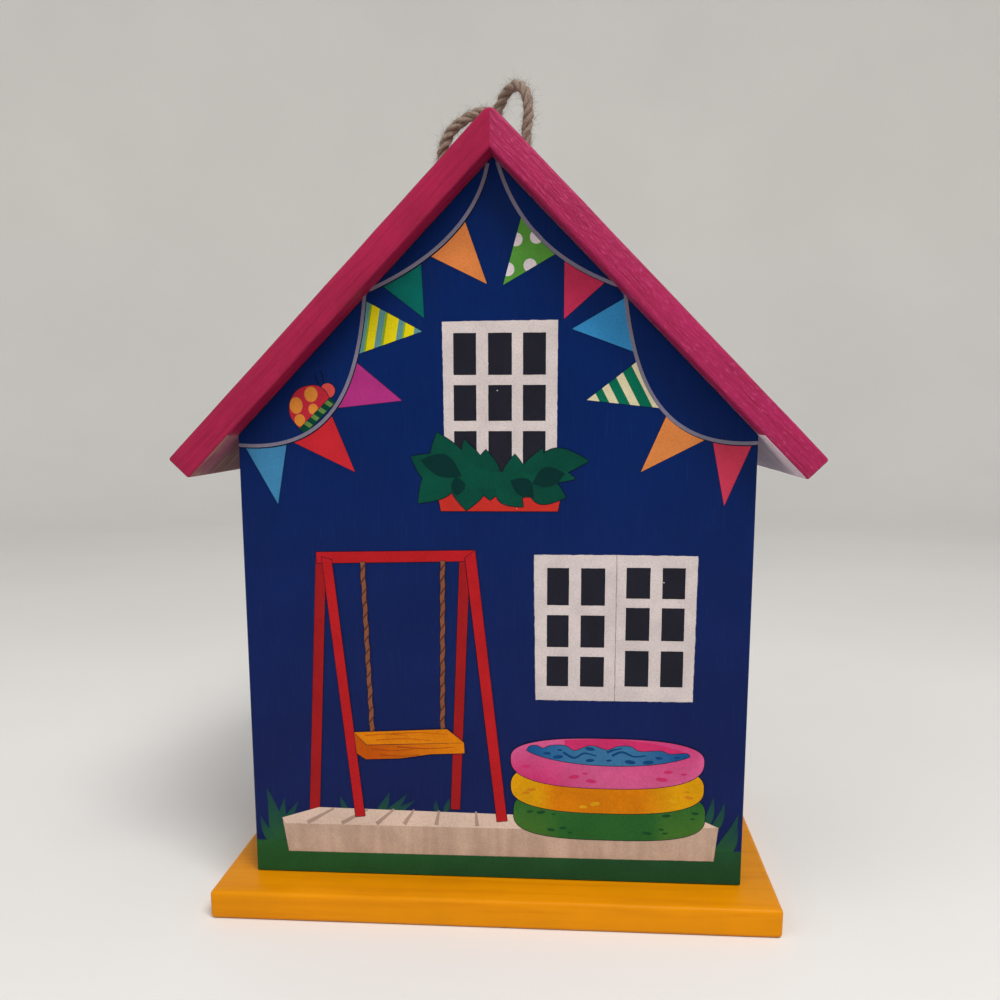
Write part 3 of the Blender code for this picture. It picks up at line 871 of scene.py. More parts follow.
def paintFaces(piece, *coats):
    # coats are (material, test(centre, normal)); the last one that accepts a face covers it
    piece.data.materials.clear()
    for material, _ in coats:
        piece.data.materials.append(material)
    for face in piece.data.polygons:
        for index, (_, wanted) in enumerate(coats):
            if wanted(face.center, face.normal):
                face.material_index = index


def settle(piece, body, slot, *nodes):
    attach(piece, body)
    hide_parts(*nodes)


def everywhere(centre, normal):
    return True


# base board

baseLow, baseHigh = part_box("base_board")
wallLow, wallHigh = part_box("picture_wall")
backLow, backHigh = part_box("entrance_wall")
halfBody = wallHigh.x
halfDepth = backHigh.y
wallThick = wallHigh.y - wallLow.y
innerX = halfBody - wallThick
innerY = halfDepth - wallThick

baseBoard = {
    "edgeRound": 1.4 * mm,
    "drainRadius": 3.0 * mm,
    "drainInset": 14.0 * mm,
    "screwRadius": 3.6 * mm,
    "screwSpread": 52.0 * mm,
    "sinkDepth": 3.0 * mm,
    "cutStep": 7.0 * mm,
    "waver": 0.05 * mm,
    "waverSize": 14 * mm,
}


def addBaseBoard():
    board = addBlock("baseBoard", baseLow, baseHigh)
    roundEdges(board, baseBoard["edgeRound"], 4, lambda middle, direction: True)
    x, y = innerX - baseBoard["drainInset"], innerY - baseBoard["drainInset"]
    middle = (baseLow.z + baseHigh.z) / 2
    tall = 2 * (baseHigh.z - baseLow.z)
    for signX in (-1, 1):
        for signY in (-1, 1):
            drill(board, (signX * x, signY * y, middle), (0, 0, 1), baseBoard["drainRadius"], tall, 32)
            spot = (signX * baseBoard["screwSpread"], signY * (halfDepth - wallThick / 2), baseLow.z)
            drill(board, spot, (0, 0, 1), baseBoard["screwRadius"], 2 * baseBoard["sinkDepth"], 32)
    cuts = [((x, 0, 0), (1, 0, 0)) for x in spread(baseLow.x, baseHigh.x, baseBoard["cutStep"])]
    cuts += [((0, y, 0), (0, 1, 0)) for y in spread(baseLow.y, baseHigh.y, baseBoard["cutStep"])]
    score(board, cuts)
    weather(board, baseBoard["waver"], baseBoard["waverSize"], 1.0)
    paintFaces(board, (yellowBase, everywhere))
    shadeBoard(board)
    settle(board, "house", "base_paint", "base_board")


addBaseBoard()
print("base board done")


# walls

walls = {
    "edgeRound": 0.7 * mm,
    "entranceRadius": 16.0 * mm,
    "entranceHeight": 132.0 * mm,
    "rimRound": 0.9 * mm,
    "cleanoutRadius": 22.0 * mm,
    "cleanoutHeight": 50.0 * mm,
    "perchSlack": 0.15 * mm,
    "betweenHoles": 100.0 * mm,
}
pitch = math.radians(roofPitch)
slopeNormals = [(math.sin(pitch), 0, math.cos(pitch)), (-math.sin(pitch), 0, math.cos(pitch))]


def gableBlock(name, low, high, outward):
    wall = addBlock(name, low, high)
    for normal in slopeNormals:
        saw(wall, (0, 0, high.z), normal)
    face = low.y if outward < 0 else high.y
    bottom = low.z

    def onFront(middle, direction):
        upright = abs(direction.z) > 0.99
        foot = abs(direction.x) > 0.99 and middle.z < bottom + tolerance
        return abs(middle.y - face) < tolerance and (upright or foot)

    roundEdges(wall, walls["edgeRound"], 3, onFront)
    return wall


def paintWall(wall, inside):
    paintFaces(wall, (blueWall, everywhere), (wallWood, inside))
    shadeBoard(wall)


def addPictureWall():
    wall = gableBlock("pictureWall", wallLow, wallHigh, -1)
    paintWall(wall, lambda centre, normal: normal.y > 0.5 or abs(centre.x) < innerX and normal.z > 0.3)
    settle(wall, "house", "wall_print", "picture_wall")


def addEntranceWall():
    wall = gableBlock("entranceWall", backLow, backHigh, 1)
    middle = (backLow.y + backHigh.y) / 2
    hole = (0, middle, walls["entranceHeight"])
    drill(wall, hole, (0, 1, 0), walls["entranceRadius"], 3 * wallThick, 64)
    perchLow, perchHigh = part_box("perch")
    perchSpot = (0, middle, (perchLow.z + perchHigh.z) / 2)
    perchHole = (perchHigh.z - perchLow.z) / 2 + walls["perchSlack"]
    drill(wall, perchSpot, (0, 1, 0), perchHole, 3 * wallThick, 40)
    rim = (0, backHigh.y, walls["entranceHeight"])
    easeRim(wall, rim, (0, 1, 0), walls["entranceRadius"], walls["rimRound"])

    def inside(centre, normal):
        inHole = abs(centre.x) < walls["entranceRadius"] and centre.z > walls["betweenHoles"]
        return normal.y < -0.5 or (abs(normal.y) < 0.1 and inHole)

    paintWall(wall, inside)
    settle(wall, "house", "wall_print", "entrance_wall")


def addSideWall(side, sign):
    low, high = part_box(side + "_wall")
    wall = addBlock(side + "SideWall", low, high)
    slope = (sign * math.sin(pitch), 0, math.cos(pitch))
    saw(wall, (sign * innerX, 0, high.z), slope)
    if side == "right":
        hole = ((low.x + high.x) / 2, 0, walls["cleanoutHeight"])
        drill(wall, hole, (1, 0, 0), walls["cleanoutRadius"], 3 * wallThick, 64)
        rim = (high.x, 0, walls["cleanoutHeight"])
        easeRim(wall, rim, (1, 0, 0), walls["cleanoutRadius"], walls["rimRound"])

    def inside(centre, normal):
        return normal.x * sign < -0.5 or (abs(normal.x) < 0.1 and abs(centre.y) < walls["cleanoutRadius"])

    paintWall(wall, inside)
    settle(wall, "house", "wall_print", side + "_wall")


addPictureWall()
addEntranceWall()
addSideWall("left", -1)
addSideWall("right", 1)
print("walls done")


# the picture on the front wall: thin films of ink, drawn in millimetres across and up from the floor

filmThick = 0.02 * mm
inkStep = 1.5  # between the steps of an ink that changes across its film
lineInk = linear(4, 10, 34)


def addFilm(bm, outline, layer, ink):
    # ink is one colour, or a rule that gives the colour at (x, z)
    corner = bm.loops.layers.float_color["ink"]
    front = -halfDepth - layer * filmThick
    near = [bm.verts.new((x * mm, front, z * mm)) for x, z in outline]
    far = [bm.verts.new((x * mm, -halfDepth + filmThick / 2, z * mm)) for x, z in outline]
    faces = [bm.faces.new(near), bm.faces.new(list(reversed(far)))]
    for i, after in enumerate((*range(1, len(outline)), 0)):
        faces.append(bm.faces.new((near[i], far[i], far[after], near[after])))
    if callable(ink):
        for x in spread(min(x for x, z in outline), max(x for x, z in outline), inkStep):
            edges = {edge for face in faces for edge in face.edges}
            corners = {vertex for edge in edges for vertex in edge.verts}
            cut = bmesh.ops.bisect_plane(
                bm, geom=[*corners, *edges, *faces], plane_co=(x * mm, 0, 0), plane_no=(1, 0, 0)
            )
            faces = [item for item in cut["geom"] if isinstance(item, bmesh.types.BMFace)]
    for face in faces:
        for loop in face.loops:
            x, _, z = loop.vert.co / mm
            loop[corner] = ink(x, z) if callable(ink) else ink


def addPrint(name, draw):
    bm = bmesh.new()
    bm.loops.layers.float_color.new("ink")
    draw(bm)
    piece = meshPiece(name, bm, inks, smooth=False)
    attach(piece, "house")


def mixInk(first, second, share):
    share = max(0.0, min(1.0, share))
    return tuple(a + (b - a) * share for a, b in zip(first, second))


def bezier(points, start=0.0, end=1.0, count=16):
    a, b, c, d = (Vector(point) for point in points)
    line = []
    for i in range(count + 1):
        t = start + (end - start) * i / count
        s = 1 - t
        line.append(a * s**3 + b * 3 * s * s * t + c * 3 * s * t * t + d * t**3)
    return line


def smoothLine(points, spacing=0.6):
    return smoothRoute([Vector(point) for point in points], spacing)


def ribbon(line, width, endWidth=None):
    # a stroke along the line, even or narrowing to its end
    left, right = [], []
    last = len(line) - 1
    for i, point in enumerate(line):
        ahead = (Vector(line[min(i + 1, last)]) - Vector(line[max(i - 1, 0)])).normalized()
        wide = width if endWidth is None else width + (endWidth - width) * i / last
        across = Vector((-ahead.y, ahead.x)) * wide / 2
        left.append(Vector(point) + across)
        right.append(Vector(point) - across)
    return left + right[::-1]


def oval(centre, width, height, turn=0.0, power=2.0, count=28):
    # power above two makes the ends blunter
    points = []
    lean = math.radians(turn)
    for i in range(count):
        angle = 2 * math.pi * i / count
        x = math.copysign(abs(math.cos(angle)) ** (2 / power), math.cos(angle)) * width / 2
        z = math.copysign(abs(math.sin(angle)) ** (2 / power), math.sin(angle)) * height / 2
        across = x * math.cos(lean) - z * math.sin(lean)
        up = x * math.sin(lean) + z * math.cos(lean)
        points.append(Vector((centre[0] + across, centre[1] + up)))
    return points


def leaf(root, tip, width, bend=0.0, fullAt=0.45, count=12):
    # pointed at both ends, widest at fullAt of its length
    root, tip = Vector(root), Vector(tip)
    across = Vector((root.y - tip.y, tip.x - root.x)).normalized()
    power = math.log(0.5) / math.log(fullAt)
    above, below = [], []
    for i in range(1, count):
        t = i / count
        middle = root.lerp(tip, t) + across * bend * math.sin(math.pi * t)
        half = across * width / 2 * math.sin(math.pi * t**power)
        above.append(middle + half)
        below.append(middle - half)
    return [root, *above, tip, *reversed(below)]


def handCut(outline, amount, seed=0.0, step=1.2):
    # edges that waver as if cut or painted by hand
    cut = []
    for i, start in enumerate(outline):
        start, end = Vector(start), Vector(outline[(i + 1) % len(outline)])
        count = max(1, round((end - start).length / step))
        for j in range(count):
            point = start.lerp(end, j / count)
            place = Vector((point.x, point.y, seed)) / 1.3
            lean = Vector((noise.noise(place), noise.noise(place + Vector((0, 0, 40)))))
            cut.append(point + lean * amount)
    return cut


def grown(outline, width):
    # every point moves outward by the width
    points = [Vector(point) for point in outline]
    after = points[1:] + points[:1]
    area = sum(a.x * b.y - b.x * a.y for a, b in zip(points, after))
    outward = math.copysign(width, area)
    bigger = []
    for before, point, following in zip(points[-1:] + points[:-1], points, after):
        ahead = ((point - before).normalized() + (following - point).normalized()).normalized()
        bigger.append(point + Vector((ahead.y, -ahead.x)) * outward)
    return bigger


def clipped(shape, window):
    # the part of a shape that lies inside a convex outline
    window = [Vector(point) for point in window]
    centre = sum(window, Vector((0, 0))) / len(window)
    kept = [Vector(point) for point in shape]
    for start, end in zip(window, window[1:] + window[:1]):
        inward = Vector((start.y - end.y, end.x - start.x))
        if inward.dot(centre - start) < 0:
            inward = -inward
        trimmed = []
        for before, point in zip(kept[-1:] + kept[:-1], kept):
            first, second = inward.dot(before - start), inward.dot(point - start)
            if first * second < 0:
                trimmed.append(before.lerp(point, first / (first - second)))
            if second >= 0:
                trimmed.append(point)
        kept = trimmed
    return kept


def addOutlined(bm, outline, layer, ink, line=0.28):
    # a dark line shows round the shape
    addFilm(bm, grown(outline, line), layer, lineInk)
    addFilm(bm, outline, layer + 1, ink)


bunting = {
    "cord": linear(118, 114, 132),
    "cordWidth": 1.15,
    "dot": linear(210, 198, 202),
    "dotWidth": 4.2,
    "strings": {
        "highLeft": ((-1.5, 249.0), (-4.0, 236.0), (-14.0, 222.0), (-40.0, 211.0)),
        "lowLeft": ((-41.5, 210.0), (-44.0, 186.0), (-50.0, 158.0), (-86.0, 161.5)),
        "highRight": ((1.5, 249.5), (5.0, 238.0), (13.0, 221.0), (40.0, 211.5)),
        "lowRight": ((42.0, 210.0), (45.0, 186.0), (51.5, 159.0), (87.0, 162.3)),
    },
    # string, start and end along it, tip and ink
    "flags": [
        ("highLeft", 0.415, 0.70, (-1.9, 212.5), linear(206, 122, 64)),
        ("highLeft", 0.745, 0.95, (-22.3, 202.1), linear(0, 94, 86)),
        ("lowLeft", 0.03, 0.265, (-23.0, 197.9), linear(212, 196, 14)),
        ("lowLeft", 0.295, 0.535, (-30.0, 175.9), linear(162, 44, 116)),
        ("lowLeft", 0.565, 0.80, (-46.2, 152.6), linear(184, 34, 44)),
        ("lowLeft", 0.815, 0.975, (-72.7, 141.8), linear(58, 122, 164)),
        ("highRight", 0.415, 0.70, (3.3, 212.1), linear(80, 140, 54)),
        ("highRight", 0.745, 0.95, (22.8, 201.4), linear(184, 44, 80)),
        ("lowRight", 0.03, 0.265, (25.4, 198.3), linear(50, 132, 186)),
        ("lowRight", 0.305, 0.55, (30.4, 175.9), linear(206, 196, 160)),
        ("lowRight", 0.59, 0.805, (48.2, 152.8), linear(206, 124, 64)),
        ("lowRight", 0.825, 0.968, (75.3, 141.8), linear(186, 52, 78)),
    ],
    # the flag's number, then the dots' middles
    "dotted": (6, [(7.4, 226.0), (13.9, 226.7), (4.8, 216.9), (11.9, 218.0)]),
    # the flag's number, ink, and each stripe's start and end from the string to the tip
    "striped": [
        (2, linear(86, 136, 136), [(-0.1, 0.11), (0.27, 0.37), (0.60, 0.69), (0.87, 1.1)]),
        (2, linear(126, 154, 36), [(0.11, 0.14), (0.37, 0.41), (0.69, 0.72)]),
        (9, linear(0, 100, 74), [(0.12, 0.29), (0.42, 0.57), (0.70, 0.83)]),
    ],
}


def drawBunting(bm):
    face = [(-85.3, 130.0), (85.3, 130.0), (85.3, 262.0), (-85.3, 262.0)]
    tips = []
    for name, start, end, tip, ink in bunting["flags"]:
        edge = bezier(bunting["strings"][name], start, end, 8)
        addOutlined(bm, [*edge, Vector(tip)], 1, ink, 0.3)
        tips.append((edge[0], edge[-1], Vector(tip)))
    number, dots = bunting["dotted"]
    for dot in dots:
        addFilm(bm, clipped(oval(dot, *(2 * [bunting["dotWidth"]])), tips[number]), 3, bunting["dot"])
    for number, ink, bands in bunting["striped"]:
        first, second, tip = tips[number]
        across = second - first
        middle = (first + second) / 2
        for start, end in bands:
            low, high = middle.lerp(tip, start), middle.lerp(tip, end)
            band = [low - across, low + across, high + across, high - across]
            addFilm(bm, clipped(band, tips[number]), 3, ink)
    for string in bunting["strings"].values():
        line = bezier(string, count=40)
        shadow = [point + Vector((0.25, -0.35)) for point in line]
        addFilm(bm, clipped(ribbon(shadow, bunting["cordWidth"]), face), 4, lineInk)
        addFilm(bm, clipped(ribbon(line, bunting["cordWidth"]), face), 5, bunting["cord"])


windows = {
    "frame": linear(202, 190, 188),
    "joint": linear(150, 144, 146),
    "glass": linear(30, 30, 40),
    "upper": [(-16.5, 200.9), (20.9, 201.2), (20.8, 147.0), (-16.0, 147.0)],
    "upperColumns": [(-12.9, -5.5), (-1.6, 6.1), (9.7, 17.1)],
    "upperRows": [(197.3, 184.0), (180.8, 169.3), (166.0, 152.5)],
    "left": [(13.5, 125.2), (40.8, 125.4), (40.8, 75.4), (14.2, 75.4)],
    "leftColumns": [(17.9, 25.2), (29.2, 37.2)],
    "leftRows": [(120.9, 108.3), (104.9, 93.9), (90.7, 80.3)],
    "right": [(41.1, 125.4), (67.5, 125.2), (67.1, 75.6), (41.1, 75.4)],
    "rightColumns": [(44.2, 52.1), (56.1, 63.6)],
    "rightRows": [(121.2, 110.8), (107.7, 96.5), (93.0, 80.6)],
    "waver": 0.16,
    "glassWaver": 0.06,
}


def drawSash(bm, name, layer):
    addFilm(bm, handCut(windows[name], windows["waver"], seed=len(name)), layer, windows["frame"])
    for left, right in windows[name + "Columns"]:
        for top, bottom in windows[name + "Rows"]:
            pane = [(left, top), (right, top), (right, bottom), (left, bottom)]
            addFilm(bm, handCut(pane, windows["glassWaver"], seed=3.0), layer + 1, windows["glass"])


def drawUpperWindow(bm):
    drawSash(bm, "upper", 1)


def drawLowerWindow(bm):
    both = [windows["left"][0], windows["right"][1], windows["right"][2], windows["left"][3]]
    addFilm(bm, handCut(grown(both, 0.15), 0.3, seed=6.0), 1, windows["joint"])
    drawSash(bm, "left", 2)
    drawSash(bm, "right", 2)


flowers = {
    "box": [(-18.8, 146.5), (22.4, 146.2), (21.3, 139.8), (-17.5, 139.7)],
    "boxInk": linear(184, 44, 36),
    "green": linear(2, 70, 54),
    "deep": linear(0, 56, 46),
    "shade": linear(0, 44, 42),
    "middle": [
        (-14.0, 152.0),
        (-8.0, 155.0),
        (0.0, 152.6),
        (8.0, 153.0),
        (15.0, 151.5),
        (12.0, 148.0),
        (-10.0, 147.0),
    ],
    # root, tip, width and bend
    "leaves": [
        ((-10.5, 147.0), (-18.6, 165.6), 12.5, 0.8),
        ((-6.5, 145.0), (-9.6, 163.3), 8.5, -1.0),
        ((-2.2, 146.0), (-2.5, 160.0), 9.0, 0.0),
        ((5.0, 146.0), (7.1, 158.5), 8.0, -1.0),
        ((7.0, 147.0), (16.2, 160.4), 7.5, -1.5),
        ((12.0, 152.0), (31.4, 156.3), 9.0, 2.0),
        ((14.0, 151.0), (27.0, 150.5), 5.0, 1.0),
        ((-14.0, 153.5), (-27.3, 157.7), 9.0, 1.5),
        ((11.0, 150.5), (24.0, 144.4), 9.5, -1.0),
        ((-11.0, 152.5), (-25.2, 142.3), 10.5, -1.5),
        ((-8.5, 154.5), (-9.0, 139.9), 12.0, 0.5),
        ((-1.0, 152.0), (-1.1, 143.4), 8.0, 0.0),
        ((2.0, 151.0), (9.8, 141.2), 8.0, -1.0),
        ((4.0, 150.0), (14.0, 146.5), 7.0, -1.0),
    ],
    "dark": [
        ((12.8, 148.8), (23.6, 152.3), 6.6, 0.6),
        ((5.6, 150.0), (13.4, 144.3), 6.0, 0.8),
        ((-24.2, 156.6), (-10.4, 151.2), 7.4, 1.0),
        ((-12.4, 151.2), (-12.0, 144.8), 4.8, 0.6),
    ],
}


def drawFlowers(bm):
    addFilm(bm, grown(flowers["box"], 0.35), 3, lineInk)
    addFilm(bm, flowers["box"], 4, flowers["boxInk"])
    layer = 5
    leaves = [leaf(*shape) for shape in flowers["leaves"]]
    for outline in leaves:
        addFilm(bm, grown(outline, 0.24), layer, lineInk)
        layer += 0.2
    for i, outline in enumerate(leaves):
        addFilm(bm, outline, layer, mixInk(flowers["green"], flowers["deep"], (i % 3) * 0.2))
        layer += 0.2
    addFilm(bm, flowers["middle"], layer, flowers["green"])
    for root, tip, width, bend in flowers["dark"]:
        addFilm(bm, leaf(root, tip, width, bend, fullAt=0.5), layer + 2, flowers["shade"])


swing = {
    "front": linear(172, 24, 30),
    "back": linear(148, 22, 26),
    "beam": [(-60.3, 125.6), (-6.2, 126.6), (-6.0, 123.0), (-60.0, 121.8)],
    "backLegs": [
        [(-60.3, 125.6), (-57.0, 122.0), (-61.9, 33.8), (-65.5, 33.8)],
        [(-11.5, 123.0), (-8.0, 123.0), (-12.1, 35.2), (-15.3, 35.2)],
    ],
    "frontLegs": [
        [(-58.4, 124.0), (-55.0, 123.0), (-45.8, 31.9), (-49.1, 31.5)],
        [(-9.6, 124.0), (-6.2, 126.6), (4.4, 31.5), (0.9, 31.1)],
    ],
    "ropes": [((-44.5, 122.4), (-42.4, 60.8)), ((-17.2, 123.0), (-17.9, 61.7))],
    "ropeWidth": 1.5,
    "ropeSway": 0.14,
    "ropeSteps": 60,
    "twist": (0.9, 1.3),
    "twistWidth": 0.45,
    "ropeInk": linear(126, 76, 56),
    "ropeDark": linear(70, 38, 36),
    "seatTop": [(-48.9, 62.5), (-16.3, 64.3), (-10.5, 59.6), (-44.5, 58.1)],
    "seatFront": [
        (-44.5, 58.1),
        (-10.5, 59.6),
        (-10.3, 55.8),
        (-22.0, 55.2),
        (-33.0, 53.4),
        (-45.0, 52.8),
    ],
    "seatEnd": [(-48.9, 62.5), (-44.5, 58.1), (-45.0, 52.8), (-48.1, 54.9)],
    "seatInk": linear(206, 118, 4),
    "seatShade": linear(180, 78, 2),
    "topGrain": [(-45.0, -30.0, 61.4), (-36.0, -16.0, 62.2), (-41.0, -22.0, 59.9)],
    "frontGrain": [(-43.0, -28.0, 56.6), (-34.0, -14.0, 57.6), (-40.0, -26.0, 54.6)],
}


def seatFrontInk(x, z):
    return mixInk(swing["seatInk"], swing["seatShade"], (-x - 12) / 30)


def addSeatGrain(bm, lines, bow, rise, ink):
    # each line of grain is (left, right, height), bowed in the middle and a little higher at the right
    for left, right, height in lines:
        grain = smoothLine([(left, height), ((left + right) / 2, height + bow), (right, height + rise)])
        addFilm(bm, ribbon(grain, 0.35, 0.15), 16, ink)


def drawSwing(bm):
    for leg in swing["backLegs"]:
        addOutlined(bm, leg, 5, swing["back"])
    addOutlined(bm, swing["beam"], 7, swing["front"])
    for leg in swing["frontLegs"]:
        addOutlined(bm, leg, 9, swing["front"])
    steps = swing["ropeSteps"]
    twist = Vector(swing["twist"])
    for start, end in swing["ropes"]:
        start, end = Vector(start), Vector(end)
        line = []
        for i in range(steps + 1):
            sway = swing["ropeSway"] * math.sin(i * 0.9)
            line.append(start.lerp(end, i / steps) + Vector((sway, 0)))
        addOutlined(bm, ribbon(line, swing["ropeWidth"]), 9, swing["ropeInk"], 0.2)
        for i in range(2, steps, 4):
            mark = ribbon([line[i] - twist, line[i] + twist], swing["twistWidth"])
            addFilm(bm, mark, 11, swing["ropeDark"])
    addOutlined(bm, swing["seatEnd"], 12, swing["seatShade"])
    addOutlined(bm, swing["seatFront"], 12, seatFrontInk)
    addOutlined(bm, swing["seatTop"], 14, swing["seatInk"])
    addSeatGrain(bm, swing["topGrain"], 0.7, 0.2, swing["seatShade"])
    addSeatGrain(bm, swing["frontGrain"], -0.4, 0.3, mixInk(swing["seatShade"], lineInk, 0.25))


garden = {
    "top": [(-75.5, 30.4), (-62.2, 34.6), (72.6, 33.0), (77.1, 31.0), (5.0, 28.6), (-74.4, 28.3)],
    "topInk": linear(208, 184, 168),
    "front": [(-75.5, 30.4), (-74.4, 28.6), (5.0, 29.4), (77.1, 31.0), (75.8, 18.7), (-73.5, 18.0)],
    "frontInk": linear(190, 164, 146),
    "frontShade": linear(174, 148, 130),
    "gap": linear(164, 140, 126),
    "gaps": [
        ((-56.9, 34.3), (-66.5, 28.8)),
        ((-44.7, 34.3), (-54.2, 28.9)),
        ((-35.4, 34.6), (-41.7, 29.0)),
        ((-28.3, 34.6), (-31.9, 29.2)),
        ((-19.5, 34.5), (-20.5, 29.2)),
        ((-6.5, 34.5), (-6.1, 29.2)),
    ],
    "grassInk": linear(34, 84, 42),
    "grassDark": linear(30, 74, 44),
    "grassFar": linear(16, 50, 72),
    "strip": [(-85.2, 21.7), (-60.0, 21.8), (60.0, 22.2), (85.2, 22.5), (85.2, 10.4), (-85.2, 10.4)],
    "shadow": [(24.0, 17.9), (76.0, 18.9), (80.5, 17.6), (70.0, 15.6), (40.0, 15.9)],
    "blades": [
        ((-77.5, 20.0), (-80.9, 41.5), 5.0, -0.8),
        ((-76.5, 20.0), (-74.4, 38.0), 4.2, 0.5),
        ((-76.0, 22.0), (-69.5, 36.6), 3.6, 0.8),
        ((-78.0, 20.0), (-83.6, 31.0), 3.4, 0.8),
        ((-52.4, 34.0), (-54.3, 39.0), 1.8, 0.4),
        ((-41.0, 33.0), (-37.0, 40.8), 2.8, -0.6),
        ((-38.0, 33.0), (-30.5, 40.6), 2.4, -0.5),
        ((-36.0, 33.0), (-27.8, 38.2), 2.0, -0.3),
        ((-20.2, 34.0), (-20.5, 38.4), 1.6, 0.2),
        ((-17.5, 34.0), (-16.0, 39.2), 2.0, -0.3),
        ((72.8, 31.0), (75.2, 42.2), 2.6, -0.5),
        ((75.0, 29.0), (79.0, 40.2), 2.8, -0.7),
        ((76.5, 21.0), (84.0, 36.6), 3.6, -1.2),
        ((78.5, 21.0), (83.8, 31.4), 4.4, -0.8),
    ],
}


def stripInk(x, z):
    return mixInk(garden["grassInk"], garden["grassDark"], (x + 70) / 90 + (14 - z) / 20)


def deckInk(x, z):
    # brush marks run up the boards' front
    marks = 0.9 * noise.noise(Vector((x / 2.5, z / 30.0, 0.0)))
    slow = 0.5 * noise.noise(Vector((x / 9, 0.0, 5.0)))
    return mixInk(garden["frontInk"], garden["frontShade"], 0.5 + marks + slow)


def drawGarden(bm):
    for i, (root, tip, width, bend) in enumerate(garden["blades"]):
        low = min(root[1], 26.0)

        def bladeInk(x, z, tip=tip, low=low):
            return mixInk(garden["grassInk"], garden["grassFar"], (z - low) / (tip[1] - low) * 0.8)

        addFilm(bm, leaf(root, tip, width, bend, fullAt=0.3), 1 + i * 0.2, bladeInk)
    addFilm(bm, handCut(garden["strip"], 0.12, step=3.0), 4, stripInk)
    addFilm(bm, garden["shadow"], 5, garden["grassDark"])
    rim = mixInk(garden["frontInk"], garden["grassDark"], 0.3)
    addFilm(bm, handCut(grown(garden["front"], 0.2), 0.1), 5, rim)
    addFilm(bm, handCut(garden["front"], 0.1, seed=2.0), 6, deckInk)
    addFilm(bm, garden["top"], 7, garden["topInk"])
    for far, close in garden["gaps"]:
        addFilm(bm, ribbon([Vector(close), Vector(far)], 1.5, 0.7), 8, garden["gap"])


pool = {
    "line": 0.22,
    # middle, width, height, bluntness and ink
    "rings": [
        ((39.6, 35.0), 65.8, 19.0, 3.0, "green"),
        ((38.8, 44.6), 66.0, 18.8, 2.65, "yellow"),
    ],
    "green": linear(38, 92, 38),
    "greenSide": linear(62, 104, 38),
    "greenDark": linear(20, 68, 36),
    "yellow": linear(206, 146, 2),
    "orange": linear(202, 116, 0),
    "orangeSpot": linear(210, 152, 14),
    "amber": linear(196, 118, 14),
    "pink": linear(198, 84, 132),
    "pinkDeep": linear(190, 48, 106),
    "pinkInner": linear(192, 44, 98),
    "water": linear(54, 108, 150),
    "waterSide": linear(16, 74, 132),
    "wave": linear(12, 62, 112),
    "rim": ((38.7, 54.4), 65.9, 20.3, 2.6),  # middle, width, height and bluntness
    "rimDip": 5.0,
    "innerTop": [(24.0, 59.0), (24.0, 61.4), (40.3, 62.0), (53.9, 60.8), (64.1, 58.2), (66.2, 57.2)],
    "waterTop": [
        (11.2, 57.4), (12.3, 58.9), (14.7, 59.1), (16.8, 58.2), (19.2, 59.2), (24.0, 59.4), (26.8, 57.9),
        (28.2, 57.7), (32.2, 59.3), (34.9, 59.2), (38.7, 58.1), (42.4, 59.4), (46.5, 59.5), (49.9, 57.8),
        (56.7, 58.1), (60.1, 57.1), (65.5, 57.4), (66.8, 56.4),
    ],
    "waterBottom": ((66.8, 56.4), (55.0, 50.9), (22.0, 51.2), (11.2, 57.4)),
    "strokes": [
        [(23.7, 57.0), (27.5, 55.1), (30.9, 56.8), (35.0, 56.0)],
        [(38.7, 57.3), (41.0, 58.2), (43.8, 58.8)],
        [(40.4, 56.1), (43.8, 57.5), (47.9, 56.0), (52.0, 56.4)],
    ],
    "pinkSpots": [
        (11.0, 51.6), (27.5, 48.2), (31.3, 49.5), (33.4, 46.8), (59.6, 50.7), (65.0, 50.0), (57.5, 48.0),
    ],
    "waterSpots": [
        (18.2, 56.5), (22.0, 55.3), (22.6, 57.8), (32.9, 58.4), (33.0, 54.3), (39.4, 54.4), (46.6, 54.0),
        (56.4, 55.6), (62.5, 55.9), (52.7, 54.0),
    ],
    "yellowSpots": [(30.8, 37.4), (34.9, 38.6), (15.9, 38.8), (61.5, 40.2)],
    "amberSpots": [(11.0, 42.0), (12.9, 43.2), (66.2, 43.7), (66.9, 41.7)],
    "greenSpots": [
        (12.4, 35.2), (16.2, 35.0), (20.6, 34.4), (19.7, 28.7), (23.9, 29.5), (26.4, 27.9), (52.9, 28.4),
        (57.7, 29.9), (59.1, 28.5), (59.3, 34.9), (68.3, 34.0), (69.1, 36.0),
    ],
}


def ringInk(x, z):
    return mixInk(pool["orange"], pool["yellow"], max((21 - x) / 6, (x - 50) / 12))


def greenInk(x, z):
    return mixInk(pool["green"], pool["greenSide"], max((24 - x) / 10, (x - 55) / 6, 0) * (38 - z) / 8)


def pinkInk(x, z):
    return mixInk(pool["pink"], pool["pinkDeep"], (34 - x) / 22 * (56 - z) / 8)


def waterInk(x, z):
    return mixInk(pool["water"], pool["waterSide"], abs(x - 38) / 18 - 0.5)


def addSpots(bm, spots, layer, ink, width=2.6):
    for i, spot in enumerate(spots):
        size = width * (1.0 + 0.35 * math.sin(i * 2.3))
        addFilm(bm, oval(spot, size, size * 0.38, turn=8 * math.sin(i * 1.7), count=14), layer, ink)


